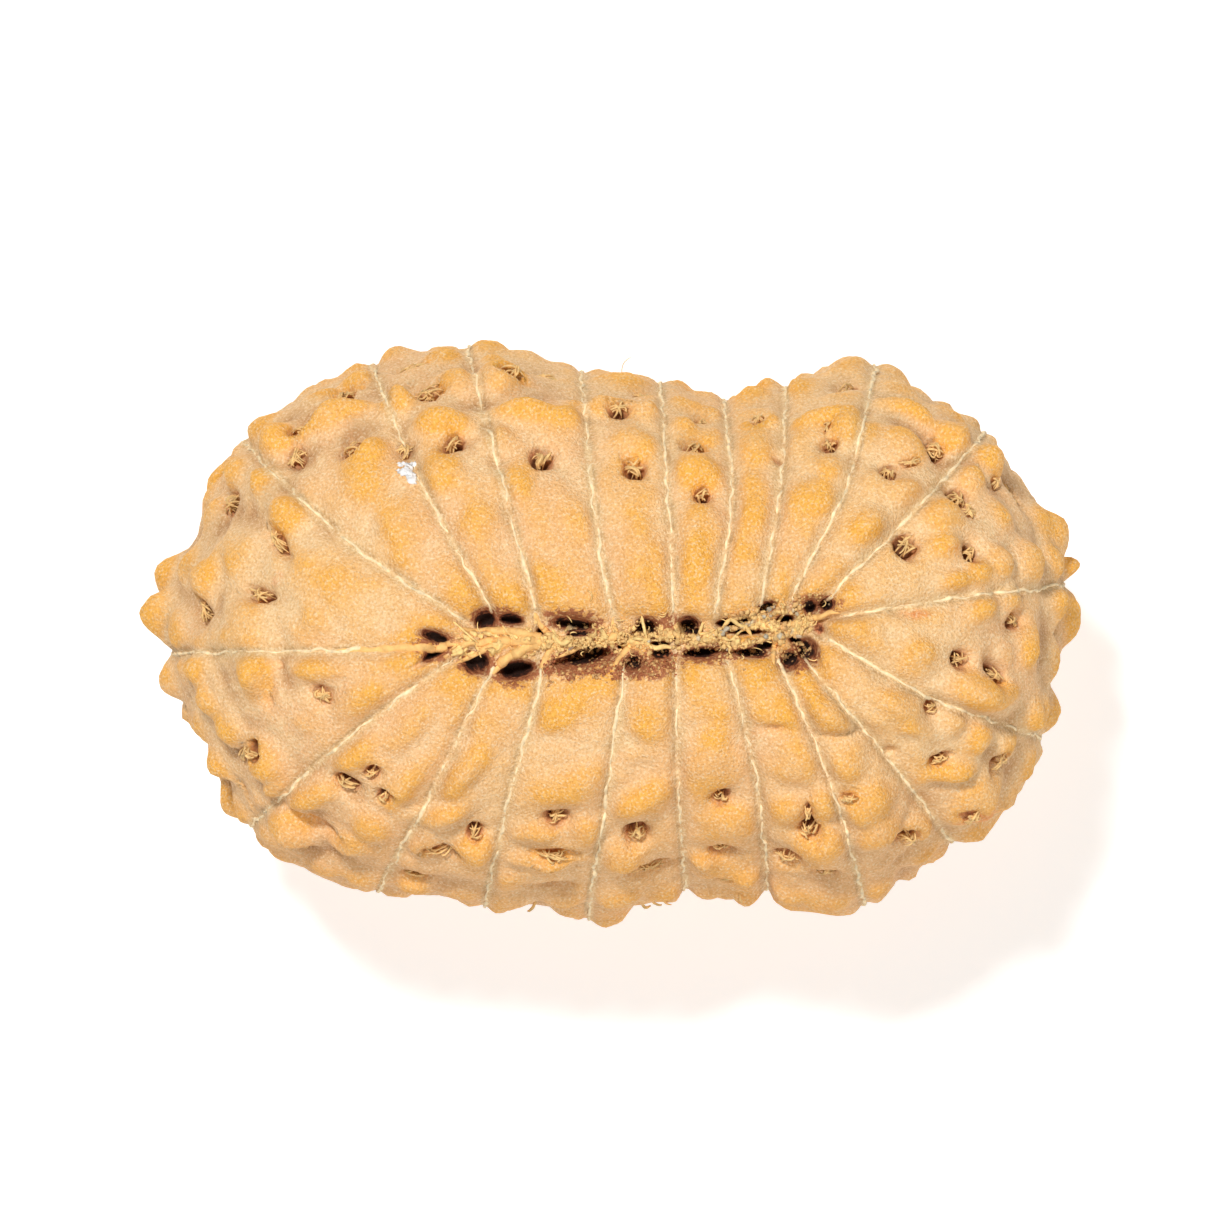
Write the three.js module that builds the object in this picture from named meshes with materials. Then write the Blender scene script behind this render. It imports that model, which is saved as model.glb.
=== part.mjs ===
import * as THREE from 'three';

// Twenty mukhi rudraksha: the knobbed stone of a fruit, grown in one piece.
// Twenty seams run from a slit on the upper face, over the rim, to a slit underneath.
// Millimetres. +Z runs up along the hole axis, +X along the longest side.
// The origin lies on the resting plane, under the middle of the outline.

// Overall form
const HALF_HEIGHT = 10.25;
const DOME_POWER = 2.4;
const WIDEST_Z = 10.28;

// Mesh fineness
const ROWS = 44;
const ROW_CROWDING_AT_SLITS = 0.1;
const COLUMN_CROWDING_AT_SEAMS = 0.35;
const COLUMNS_PER_SEGMENT = [11, 8, 6, 6, 5, 4, 5, 5, 7, 9];
const SNAP_LIMIT = 0.42;

// Ribs between the seams: a steep shoulder beside each groove and a round back.
// Near the rim each rib has a back of its own, full or sunken.
const SHOULDER_RISE = 0.2;
const SHOULDER_WIDTH = 0.35;
const BACK_RISE_ON_FACE = 0.22;
const BACKS_AT_RIM = [
  -0.05, -0.15, -0.05, -0.1, -0.2, -0.1, -0.1, 0.0, -0.5, -0.2,
  -0.5, 0.2, -0.5, 0.25, 0.2, -0.1, -0.4, -0.7, -0.1, -0.5,
];
const BACK_CHANGES_NEAR_RIM = 6;
const BACK_STARTS_AT = 0.12;

// Hollow along each slit
const SLIT_HOLLOW_DEPTH = 0.5;
const SLIT_HOLLOW_REACH = 0.1;

// Shape of a knob and of a pit
const KNOB_FLATNESS = 1.2;
const KNOB_BLEND = 3;
const PIT_FLATNESS = 2;
const FUNNEL_SHARE = 0.22;
const FUNNEL_SPREAD = 2.2;

// Knobs and pits of the flank and the underside, which follow a rule
const RELIEF_SPACING = 1.9;
const RULE_FIRST_ANGLE = THREE.MathUtils.degToRad(74);
const RULE_LAST_ANGLE = THREE.MathUtils.degToRad(160);
const RULE_RING_STEP = THREE.MathUtils.degToRad(10.3);
const RULE_FADES_FROM = THREE.MathUtils.degToRad(112);
const RULE_FADED_RISE = 0.4;
const RULE_KNOB_GAP = 1.35;
const RULE_PIT_GAP = 1.25;
const RULE_PIT_SHARE = 0.55;
const RIM_TIP_SCATTER = THREE.MathUtils.degToRad(14);
const LEAST_RIM_RISE = 0.1;
const FACE_KNOB_GAIN = 1.2;
const RULE_RISE_AT_RIM = 0.25;
const RIM_BAND = 0.6;
const RANDOM_SEED = 2026;

// Each seam in plan: its foot on the slit, a point near it, one half way, and the rim.
// Seams 0 to 10 go from the left end round by +Y to the right end, 11 to 19 return by -Y.
const SEAM_STATIONS = [0, 0.13, 0.55, 1];
const SEAMS = [
  [[-6.2, -0.5], [-7.7, -0.58], [-12.6, -0.72], [-17.6, -0.8]],
  [[-4.8, -0.35], [-6.2, 0.75], [-10.3, 3.5], [-14.7, 7.6]],
  [[-3.95, -0.3], [-4.85, 1.15], [-7.3, 5.5], [-9.6, 10.6]],
  [[-2.75, -0.35], [-3.05, 1.3], [-4.35, 6.1], [-5.8, 11.2]],
  [[0.45, -0.2], [-0.05, 1.25], [-0.75, 5.7], [-1.2, 10.5]],
  [[2.4, -0.2], [2.5, 1.15], [2.25, 5.5], [2.0, 10.1]],
  [[4.3, -0.2], [4.2, 1.1], [4.8, 5.2], [4.55, 9.35]],
  [[6.0, 0.05], [5.95, 1.3], [6.7, 5.4], [7.1, 9.8]],
  [[7.0, 0.2], [7.25, 1.6], [9.3, 5.6], [10.6, 10.4]],
  [[7.6, 0.3], [8.6, 1.45], [11.7, 4.45], [15.0, 8.0]],
  [[8.2, 0.5], [9.5, 0.75], [13.7, 1.4], [18.05, 1.9]],
  [[7.6, 0.3], [8.9, -0.4], [12.8, -2.6], [17.3, -4.2]],
  [[7.0, 0.2], [7.9, -1.3], [10.6, -4.45], [13.7, -8.4]],
  [[6.0, 0.05], [6.75, -1.35], [8.7, -5.8], [10.2, -10.8]],
  [[4.3, -0.2], [4.7, -1.4], [5.75, -5.6], [6.3, -10.2]],
  [[2.4, -0.2], [2.6, -1.5], [2.65, -5.6], [3.0, -10.2]],
  [[0.45, -0.2], [0.5, -1.6], [-0.15, -6.1], [-0.9, -11.1]],
  [[-2.75, -0.35], [-2.75, -1.7], [-3.95, -6.1], [-5.1, -11.0]],
  [[-3.95, -0.3], [-4.8, -1.6], [-6.95, -5.9], [-9.35, -10.3]],
  [[-4.8, -0.35], [-6.3, -1.1], [-10.6, -4.25], [-14.4, -7.65]],
];

// Knobs of the upper face, by segment: x, y, radius, rise,
// or x, y, half length, half width, turn in degrees, rise
const FACE_KNOBS = [
  // Segment 0
  [-14.3, 6.4, 0.8, 0.7], [-13.4, 5.0, 0.9, 0.8], [-16.9, 2.3, 0.9, 0.7], [-15.2, 0.2, 1.3, 0.4],
  [-12.0, 2.6, 1.9, 1.2, -30, 0.35], [-12.0, 0.5, 0.8, 0.25], [-15.2, 3.0, 0.9, 0.4],
  // Segment 1
  [-13.9, 8.3, 0.9, 0.8], [-11.3, 9.2, 1.5, 0.7, 25, 0.7], [-9.8, 7.7, 0.7, 0.6],
  [-9.9, 6.1, 1.1, 0.35], [-8.6, 4.2, 1.0, 0.6, -50, 0.22],
  // Segment 2
  [-8.7, 9.8, 0.8, 0.7], [-6.8, 8.9, 1.1, 0.55, -8, 0.65], [-6.3, 10.7, 0.9, 0.6],
  [-6.9, 6.6, 0.8, 0.4], [-5.3, 4.6, 0.6, 0.9, 20, 0.3],
  // Segment 3
  [-4.4, 10.9, 1.1, 0.9], [-3.2, 9.3, 1.9, 0.45, 0, 0.65], [-3.9, 6.2, 0.8, 0.35],
  [-4.6, 7.9, 0.6, 0.4], [-1.7, 8.8, 0.7, 0.35],
  // Segment 4
  [0.0, 9.6, 1.3, 0.5, 0, 0.65], [0.9, 8.0, 1.0, 0.6, 0, 0.35], [1.0, 3.5, 2.1, 0.55, 88, 0.22],
  [1.5, 9.3, 0.5, 0.4],
  // Segment 5
  [3.3, 3.8, 1.4, 0.5, 86, 0.22], [3.6, 6.8, 0.8, 0.4], [3.0, 8.8, 0.5, 0.4],
  // Segment 6
  [6.0, 8.9, 0.9, 0.4, 0, 0.5], [5.7, 7.5, 0.7, 0.35], [5.7, 5.0, 0.5, 0.2],
  // Segment 7
  [8.7, 9.2, 1.4, 0.45, 12, 0.6], [9.7, 8.6, 0.8, 0.6], [8.4, 5.7, 0.8, 0.35], [8.8, 6.8, 0.6, 0.4],
  [9.9, 7.7, 0.5, 0.35],
  // Segment 8
  [12.2, 9.3, 1.4, 0.5, -25, 0.7], [12.0, 7.7, 0.9, 0.4], [10.5, 6.1, 0.8, 0.35],
  [11.7, 5.9, 0.9, 0.5, 20, 0.45], [10.3, 4.5, 1.0, 0.6, 55, 0.3], [14.0, 8.4, 0.9, 0.7],
  // Segment 9
  [15.5, 7.3, 0.9, 0.7], [13.5, 4.9, 0.8, 0.55], [13.6, 3.7, 0.7, 0.45], [14.7, 6.5, 0.7, 0.5],
  [15.0, 2.6, 0.6, 0.5], [15.9, 2.9, 0.7, 0.55], [17.2, 3.2, 0.9, 0.6], [17.9, 4.6, 1.0, 0.7],
  [14.1, 2.2, 0.7, 0.4, 10, 0.35], [15.9, 4.9, 0.9, 0.4],
  // Segment 10
  [15.1, 1.1, 0.7, 0.4], [16.3, 1.5, 0.6, 0.5], [18.4, 1.3, 0.8, 0.5], [17.0, -0.6, 0.9, 0.45],
  [15.6, -2.6, 1.8, 0.7, -12, 0.8], [12.3, -0.9, 0.8, 0.3], [16.0, -1.0, 0.6, 0.3],
  // Segment 11
  [11.8, -3.0, 1.0, 0.6, -25, 0.4], [13.9, -3.7, 0.6, 0.45], [17.3, -3.6, 0.7, 0.5],
  [12.3, -4.0, 0.8, 0.4, -25, 0.35], [15.0, -4.3, 0.7, 0.45], [16.4, -4.9, 0.7, 0.6],
  [14.0, -5.8, 1.1, 0.5, -15, 0.5], [15.0, -7.3, 1.3, 0.9],
  // Segment 12
  [8.8, -3.2, 1.0, 0.65, -35, 0.45], [9.5, -5.5, 0.7, 0.35], [10.4, -7.2, 1.0, 0.6],
  [10.9, -8.4, 0.9, 0.7], [12.6, -8.3, 0.8, 0.6],
  // Segment 13
  [7.3, -5.5, 0.9, 0.35], [8.7, -7.0, 0.8, 0.55], [7.0, -7.3, 0.7, 0.45], [8.4, -8.9, 1.0, 0.7],
  [7.1, -3.2, 0.5, 0.9, 20, 0.22],
  // Segment 14
  [5.0, -7.8, 0.8, 0.4], [4.1, -4.9, 2.0, 0.7, 88, 0.25], [5.5, -10.2, 0.6, 0.5],
  [3.7, -9.5, 0.7, 0.4, 0, 0.4],
  // Segment 15
  [1.6, -3.6, 0.9, 0.25], [1.4, -7.0, 1.3, 0.6, 35, 0.5], [0.6, -9.4, 0.8, 0.45],
  // Segment 16
  [-1.6, -6.4, 1.3, 0.8, 10, 0.55], [-0.9, -8.2, 0.7, 0.5], [-2.9, -8.3, 0.9, 0.4, 12, 0.5],
  [-2.7, -9.6, 1.2, 0.4, 0, 0.55], [-1.9, -3.2, 0.9, 0.6, 10, 0.22],
  // Segment 17
  [-5.4, -9.2, 0.8, 0.6], [-6.9, -7.7, 1.0, 0.45, 25, 0.55], [-5.9, -5.8, 1.3, 0.5, 50, 0.4],
  [-7.6, -9.0, 0.6, 0.4],
  // Segment 18
  [-8.3, -6.3, 1.2, 0.5, 55, 0.4], [-12.2, -6.8, 1.5, 0.5, 35, 0.5], [-10.7, -8.9, 0.8, 0.6],
  [-10.4, -5.1, 1.1, 0.4, 38, 0.35], [-9.8, -8.2, 0.8, 0.55], [-13.3, -8.4, 1.0, 0.7],
  [-8.2, -4.1, 0.9, 0.55, 45, 0.22],
  // Segment 19
  [-14.7, -1.7, 0.85, 0.85], [-17.0, -1.5, 0.7, 0.5], [-12.1, -1.5, 1.2, 0.45, 0, 0.4],
  [-10.0, -2.7, 1.1, 0.6, 30, 0.3], [-16.5, -2.8, 0.7, 0.5], [-14.3, -5.5, 0.9, 0.8],
  [-13.6, -6.4, 0.9, 0.5, 40, 0.45], [-15.6, -3.9, 0.8, 0.4],
];

// Tips of the knobs that stand out at the rim: x, y, radius
const RIM_TIPS = [
  [-19.0, 0.9, 1.0], [-18.4, 2.6, 1.0], [-16.45, 6.3, 1.2], [-15.3, 7.6, 0.6], [-14.0, 8.6, 0.8],
  [-13.4, 9.2, 0.7], [-11.6, 10.0, 0.7], [-10.4, 10.9, 0.8], [-8.7, 11.4, 0.8], [-7.1, 11.45, 0.8],
  [-4.9, 11.95, 1.15], [-2.2, 10.9, 1.0], [0.4, 10.4, 0.6], [1.2, 10.4, 0.5], [2.6, 10.2, 0.5],
  [6.3, 10.2, 0.7], [7.6, 10.2, 0.5], [9.7, 11.2, 1.2], [11.5, 10.8, 1.0], [13.2, 9.1, 0.7],
  [14.5, 8.8, 0.5], [15.5, 7.9, 0.5], [16.0, 7.1, 0.9], [18.6, 4.3, 1.1], [17.2, 5.3, 0.8],
  [18.95, 3.0, 0.6], [19.0, 0.5, 1.25], [18.15, -3.3, 0.85], [17.3, -4.8, 0.8], [16.5, -6.6, 0.9],
  [15.3, -8.1, 1.0], [13.1, -9.2, 0.8], [12.0, -9.6, 0.6], [11.2, -10.5, 0.7], [8.9, -11.45, 1.4],
  [5.5, -11.15, 0.7], [0.0, -12.05, 1.0], [-1.4, -11.45, 0.8], [-4.4, -11.45, 0.9], [-6.0, -10.9, 0.7],
  [-8.4, -10.5, 0.6], [-10.4, -10.4, 0.7], [-12.0, -9.5, 0.6], [-13.3, -9.15, 0.9],
  [-15.8, -7.2, 0.8], [-16.3, -5.4, 0.4], [-17.45, -3.4, 0.6], [-18.3, -2.0, 0.9],
];

// Pits of the upper face: x, y, radius, depth,
// or x, y, half length, half width, turn in degrees, depth
const FACE_PITS = [
  // Segment 0
  [-15.4, 5.3, 0.5, 0.8], [-13.3, 3.7, 0.75, 0.32, -45, 0.8], [-14.2, 1.6, 0.75, 0.34, -20, 1.0],
  [-16.4, 0.9, 0.62, 0.42, -35, 0.8],
  // Segment 1
  [-12.4, 8.2, 0.6, 0.42, 60, 0.8], [-10.3, 7.5, 0.6, 0.42, 0, 1.0], [-10.7, 9.6, 0.5, 0.5],
  [-12.7, 7.2, 0.6, 0.4],
  // Segment 2
  [-7.9, 10.8, 0.75, 0.4, -10, 0.7], [-7.4, 9.8, 0.75, 0.6, 20, 1.0], [-6.3, 7.7, 0.55, 0.3, 55, 1.0],
  [-8.3, 7.3, 0.5, 0.25],
  // Segment 3
  [-4.0, 9.95, 0.6, 0.3, 0, 0.7], [-2.6, 10.4, 0.6, 0.35, 0, 0.7], [-2.75, 7.2, 0.52, 0.9],
  // Segment 4
  [0.3, 8.8, 0.5, 0.3, 0, 0.7], [0.95, 6.8, 0.48, 0.9], [1.3, 9.7, 0.45, 0.3, 0, 0.4],
  // Segment 5
  [3.4, 7.6, 0.5, 0.36, 0, 0.7], [3.7, 8.7, 0.3, 0.6], [3.65, 9.25, 0.25, 0.4], [3.65, 5.7, 0.34, 0.8],
  // Segment 6
  [5.7, 9.5, 0.42, 0.6], [5.9, 8.4, 0.34, 0.5], [6.6, 7.0, 0.25, 0.3],
  // Segment 7
  [8.7, 7.6, 0.34, 0.8], [8.6, 8.2, 0.45, 0.2, 85, 0.3], [9.5, 10.2, 0.48, 0.8],
  // Segment 8
  [11.1, 6.5, 0.36, 0.6], [11.9, 6.8, 0.6, 0.22, 30, 0.3], [13.1, 7.5, 0.5, 0.42, 60, 1.1],
  // Segment 9
  [11.85, 3.6, 0.52, 1.0], [14.0, 5.5, 0.48, 0.6], [14.3, 4.9, 0.4, 0.3], [14.4, 3.2, 0.36, 0.5, 0, 0.7],
  [15.35, 6.0, 0.3, 0.5], [16.2, 5.7, 0.8, 0.35, -40, 0.6], [17.4, 4.0, 0.45, 0.25, 30, 0.5],
  // Segment 10
  [16.2, 0.5, 0.4, 0.7], [17.9, 0.5, 0.42, 0.7], [14.0, -1.1, 0.42, 0.8], [15.4, -1.7, 0.6, 0.36, -25, 0.9],
  [12.2, 0.8, 1.1, 0.35, 0, 0.2],
  // Segment 11
  [12.8, -3.0, 0.3, 0.5], [13.2, -5.1, 0.5, 0.25, 15, 0.6], [15.6, -5.1, 0.65, 0.42, 20, 0.8],
  [11.2, -4.7, 0.22, 0.3], [14.0, -6.8, 0.45, 0.35],
  // Segment 12
  [9.4, -6.4, 0.4, 0.25, 0, 0.4], [11.8, -8.1, 0.45, 1.0], [9.0, -4.1, 0.9, 0.16, 0, 0.3],
  // Segment 13
  [7.9, -7.8, 0.42, 1.0], [7.85, -7.1, 0.45, 0.2, 90, 0.5], [8.5, -9.9, 0.5, 0.34, 0, 0.8],
  [7.0, -9.2, 0.6, 0.5], [6.5, -3.8, 0.6, 0.16, 0, 0.25],
  // Segment 14
  [4.35, -6.7, 0.36, 0.8], [4.4, -8.9, 0.5, 0.32, 0, 0.8], [4.8, -10.0, 0.75, 0.35, 0, 0.7],
  // Segment 15
  [1.1, -8.2, 0.48, 0.9], [1.6, -9.6, 0.85, 0.4, 10, 0.8],
  // Segment 16
  [-2.2, -7.5, 0.5, 0.36, 0, 1.0], [-2.3, -8.9, 0.8, 0.28, 0, 0.7], [-2.4, -10.2, 0.9, 0.26, 0, 0.6],
  // Segment 17
  [-7.9, -9.8, 0.55, 0.36, 0, 0.8], [-6.9, -8.8, 0.8, 0.4, 10, 0.8], [-5.45, -8.05, 0.36, 0.8],
  // Segment 18
  [-10.6, -6.1, 0.5, 0.36, -20, 0.9], [-9.55, -5.6, 0.34, 0.6], [-9.05, -6.5, 0.3, 0.7],
  [-11.9, -7.7, 1.0, 0.34, -10, 0.9], [-12.4, -8.3, 0.4, 0.3, 0, 0.5],
  // Segment 19
  [-11.6, -2.5, 0.6, 0.36, -40, 0.4], [-14.1, -4.6, 0.42, 0.9], [-14.8, -4.9, 0.6, 0.3, 40, 0.4],
  [-14.7, -6.5, 0.6, 0.18, 80, 0.5], [-13.7, -2.2, 0.9, 0.3, 65, 0.4],
];

// Holes beside the slit of the upper face, in the same form as the pits
const SLIT_HOLES = [
  [-7.0, -0.1, 0.6, 0.2, -18, 0.8], [-7.0, -0.85, 0.6, 0.2, 30, 0.8], [-5.0, 0.6, 0.42, 1.1],
  [-4.0, 0.6, 0.5, 0.22, -5, 0.9], [-1.5, 0.4, 0.85, 0.26, -8, 1.1], [1.4, 0.25, 0.42, 1.1],
  [3.1, 0.3, 0.4, 1.1], [5.2, 0.5, 0.4, 0.2, 20, 0.6], [6.2, 1.1, 0.36, 0.22, 10, 0.7],
  [7.9, 1.1, 0.28, 0.8], [8.6, 1.2, 0.28, 0.8], [8.3, 0.2, 0.32, 0.3],
  [7.1, -1.1, 0.38, 1.0], [7.8, -0.7, 0.44, 1.0], [5.6, -0.8, 0.7, 0.2, 0, 0.9],
  [3.6, -0.8, 0.75, 0.22, 5, 1.0], [2.0, -0.8, 0.4, 0.24, 0, 0.7], [0.9, -1.2, 0.34, 0.8],
  [-1.0, -0.9, 1.1, 0.4, 15, 1.2], [-3.8, -1.5, 0.75, 0.38, 5, 1.2], [-5.4, -1.2, 0.55, 0.42, 0, 1.1],
];

// Holes beside the slit underneath: one at the tip of each segment
const UNDER_HOLE = { fraction: 0.085, radius: 0.36, depth: 0.8 };

const SEAM_COUNT = SEAMS.length;
const QUARTER_TURN = Math.PI / 2;

function clamp(value, low, high) {
  return Math.min(high, Math.max(low, value));
}

function randomSource(seed) {
  let state = seed;
  return () => {
    state = (state * 16807) % 2147483647;
    return state / 2147483647;
  };
}

// A smooth curve through a seam's four points, whose stations are unevenly spaced
function alongSeam(points, t) {
  let s = 0;
  while (s < SEAM_STATIONS.length - 2 && t > SEAM_STATIONS[s + 1]) s += 1;
  const span = SEAM_STATIONS[s + 1] - SEAM_STATIONS[s];
  const f = (t - SEAM_STATIONS[s]) / span;
  const f2 = f * f;
  const f3 = f2 * f;
  return [0, 1].map((axis) => {
    const from = points[s][axis];
    const to = points[s + 1][axis];
    const slopeFrom = seamSlope(points, s, axis) * span;
    const slopeTo = seamSlope(points, s + 1, axis) * span;
    return from * (2 * f3 - 3 * f2 + 1) + slopeFrom * (f3 - 2 * f2 + f)
      + to * (3 * f2 - 2 * f3) + slopeTo * (f3 - f2);
  });
}

function seamSlope(points, s, axis) {
  const before = Math.max(0, s - 1);
  const after = Math.min(points.length - 1, s + 1);
  return (points[after][axis] - points[before][axis]) / (SEAM_STATIONS[after] - SEAM_STATIONS[before]);
}

// The plan place at u seams round the stone and at plan fraction t from slit to rim
function plan(u, t) {
  const whole = Math.floor(u);
  const w = u - whole;
  const corners = [-1, 0, 1, 2].map((step) => {
    const seam = (whole + step + 2 * SEAM_COUNT) % SEAM_COUNT;
    return alongSeam(SEAMS[seam], t);
  });
  const weights = [
    -0.5 * w + w * w - 0.5 * w ** 3,
    1 - 2.5 * w * w + 1.5 * w ** 3,
    0.5 * w + 2 * w * w - 1.5 * w ** 3,
    -0.5 * w * w + 0.5 * w ** 3,
  ];
  return [0, 1].map((axis) => corners.reduce((sum, corner, n) => sum + weights[n] * corner[axis], 0));
}

// The smooth skin without relief: angle 0 is the upper slit, a quarter turn the rim
function skin(u, angle) {
  const t = Math.sin(clamp(angle, 0, Math.PI));
  const [x, y] = plan(u, t);
  const side = angle > QUARTER_TURN ? -1 : 1;
  const z = WIDEST_Z + side * HALF_HEIGHT * Math.sqrt(Math.max(0, 1 - t ** DOME_POWER));
  return new THREE.Vector3(x, y, z);
}

function skinNormal(u, angle) {
  const nudge = 0.004;
  if (angle < nudge) return new THREE.Vector3(0, 0, 1);
  if (angle > Math.PI - nudge) return new THREE.Vector3(0, 0, -1);
  const round = skin(u + nudge, angle).sub(skin(u - nudge, angle));
  const down = skin(u, angle + nudge).sub(skin(u, angle - nudge));
  return round.cross(down).normalize();
}

function segmentWidth(u, t) {
  const seam = Math.floor(u);
  const [ax, ay] = plan(seam, t);
  const [bx, by] = plan(seam + 1, t);
  return Math.hypot(bx - ax, by - ay);
}

// Height of the rib over the skin: nothing on the seams, most along the middle
function ribRise(u, angle) {
  const t = Math.sin(clamp(angle, 0, Math.PI));
  const w = u - Math.floor(u);
  const fromSeam = Math.min(w, 1 - w);
  const distance = fromSeam * segmentWidth(u, t);
  const shoulder = SHOULDER_RISE * (1 - Math.exp(-((distance / SHOULDER_WIDTH) ** 2)));
  const backAtRim = BACKS_AT_RIM[Math.floor(u + SEAM_COUNT) % SEAM_COUNT];
  const nearRim = t ** BACK_CHANGES_NEAR_RIM;
  const back = BACK_RISE_ON_FACE * (1 - nearRim) + backAtRim * nearRim;
  const nearSlit = clamp(t / BACK_STARTS_AT, 0, 1);
  const hollow = SLIT_HOLLOW_DEPTH * Math.exp(-((t / SLIT_HOLLOW_REACH) ** 2));
  return shoulder + nearSlit * back * (1 - (1 - 2 * fromSeam) ** 2) - hollow;
}

// The seam number and angle on the upper half whose skin lies at a plan place
function locate(x, y) {
  let best = { miss: Infinity, u: 0, t: 0 };
  for (let u = 0; u < SEAM_COUNT; u += 0.25) {
    for (let t = 0.05; t < 1.001; t += 0.05) {
      const [px, py] = plan(u, t);
      const miss = Math.hypot(px - x, py - y);
      if (miss < best.miss) best = { miss, u, t };
    }
  }
  let { u, t } = best;
  const nudge = 0.001;
  for (let step = 0; step < 8; step += 1) {
    const [px, py] = plan(u, t);
    const [ux, uy] = plan(u + nudge, t).map((value, axis) => (value - [px, py][axis]) / nudge);
    const [tx, ty] = plan(u, t - nudge).map((value, axis) => ([px, py][axis] - value) / nudge);
    const area = ux * ty - uy * tx;
    const du = ((x - px) * ty - (y - py) * tx) / area;
    const dt = ((y - py) * ux - (x - px) * uy) / area;
    u += clamp(du, -0.3, 0.3);
    t = clamp(t + clamp(dt, -0.1, 0.1), 0.02, 1);
  }
  u = (u + SEAM_COUNT) % SEAM_COUNT;
  return { u, angle: Math.asin(t) };
}

// A raised or sunken spot on the skin, with its own long direction
function spot(u, angle, long, wide, degrees, size) {
  const centre = skin(u, angle);
  const normal = skinNormal(u, angle);
  const turn = THREE.MathUtils.degToRad(degrees);
  const along = new THREE.Vector3(Math.cos(turn), Math.sin(turn), 0);
  along.addScaledVector(normal, -along.dot(normal)).normalize();
  return { u, angle, centre, along, long, wide, size };
}

// A spot from a table row. Its top, or its mouth, is what lies at the plan place.
function spotFromRow(row, liftShare, gain) {
  const round = row.length === 4;
  const [x, y, long] = row;
  const wide = round ? long : row[3];
  const degrees = round ? 0 : row[4];
  const size = row[row.length - 1] * gain;
  let place = locate(x, y);
  for (let step = 0; step < 3; step += 1) {
    const lift = ribRise(place.u, place.angle) + liftShare * size;
    const normal = skinNormal(place.u, place.angle);
    place = locate(x - normal.x * lift, y - normal.y * lift);
  }
  return spot(place.u, place.angle, long, wide, degrees, size);
}

// A knob at the rim, as tall as it takes for its tip to reach the plan place
function spotFromRimTip([x, y, radius], random) {
  let best = { miss: Infinity, u: 0 };
  for (let u = 0; u < SEAM_COUNT; u += 0.02) {
    const [px, py] = plan(u, 1);
    const miss = Math.hypot(px - x, py - y);
    if (miss < best.miss) best = { miss, u };
  }
  const angle = QUARTER_TURN + (random() - 0.5) * RIM_TIP_SCATTER;
  const rise = Math.max(LEAST_RIM_RISE, best.miss - ribRise(best.u, QUARTER_TURN));
  return spot(best.u, angle, radius, radius, 0, rise);
}

function clearOf(centre, spots, gap) {
  return spots.every((other) => other.centre.distanceTo(centre) > gap * Math.max(0.75, other.wide));
}

// Knobs and pits in staggered rings down the flank, where none is given by place
function addSpotsByRule(knobs, pits, random) {
  let ring = 0;
  for (let angle = RULE_FIRST_ANGLE; angle < RULE_LAST_ANGLE; angle += RULE_RING_STEP) {
    const faded = clamp((angle - RULE_FADES_FROM) / (RULE_LAST_ANGLE - RULE_FADES_FROM), 0, 1);
    const strength = 1 - (1 - RULE_FADED_RISE) * faded;
    const fromRim = clamp(Math.abs(Math.cos(angle)) / RIM_BAND, 0, 1);
    const rimShare = RULE_RISE_AT_RIM + (1 - RULE_RISE_AT_RIM) * fromRim;
    for (let segment = 0; segment < SEAM_COUNT; segment += 1) {
      const width = segmentWidth(segment, Math.sin(angle));
      const count = Math.max(1, Math.round(width / RELIEF_SPACING + (ring % 2) * 0.5 - 0.25));
      for (let place = 0; place < count; place += 1) {
        const sway = (random() - 0.5) * 0.3;
        const knobU = segment + (place + 0.5 + sway) / count;
        const knobAngle = angle + (random() - 0.5) * 0.06;
        const radius = 0.68 + 0.32 * random();
        const rise = (0.55 + 0.45 * random()) * strength * rimShare;
        const pitU = segment + clamp((place + 1.05 + sway) / count, 0.12, 0.88);
        const pitAngle = angle + RULE_RING_STEP * (0.3 + 0.4 * random());
        const pitRadius = 0.34 + 0.2 * random();
        const pitDepth = 0.5 + 0.45 * random();
        const wantsPit = random() < RULE_PIT_SHARE;
        const knob = spot(knobU, knobAngle, radius, radius, 0, rise);
        const handPits = knobAngle < QUARTER_TURN ? pits : [];
        const free = clearOf(knob.centre, knobs, RULE_KNOB_GAP);
        if (free && clearOf(knob.centre, handPits, RULE_PIT_GAP)) knobs.push(knob);
        const pit = spot(pitU, pitAngle, pitRadius, pitRadius, 0, pitDepth);
        if (wantsPit && pitAngle > QUARTER_TURN && clearOf(pit.centre, pits, RULE_PIT_GAP)) pits.push(pit);
      }
    }
    ring += 1;
  }
}

function addHolesUnderneath(pits) {
  const angle = Math.PI - Math.asin(UNDER_HOLE.fraction);
  for (let segment = 0; segment < SEAM_COUNT; segment += 1) {
    pits.push(spot(segment + 0.5, angle, UNDER_HOLE.radius, UNDER_HOLE.radius, 0, UNDER_HOLE.depth));
  }
}

function collectSpots() {
  const random = randomSource(RANDOM_SEED);
  const rimKnobs = RIM_TIPS.map((tip) => spotFromRimTip(tip, random));
  const faceKnobs = FACE_KNOBS.map((row) => spotFromRow(row, 1, FACE_KNOB_GAIN));
  const knobs = [...rimKnobs, ...faceKnobs];
  const pits = [...FACE_PITS, ...SLIT_HOLES].map((row) => spotFromRow(row, 0, 1));
  addSpotsByRule(knobs, pits, random);
  addHolesUnderneath(pits);
  return { knobs, pits };
}

// Squared distance from a spot's centre, in its own half lengths
function reach(item, point) {
  const offset = point.clone().sub(item.centre);
  const along = offset.dot(item.along);
  const across = Math.max(0, offset.lengthSq() - along * along);
  return (along / item.long) ** 2 + across / item.wide ** 2;
}

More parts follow.
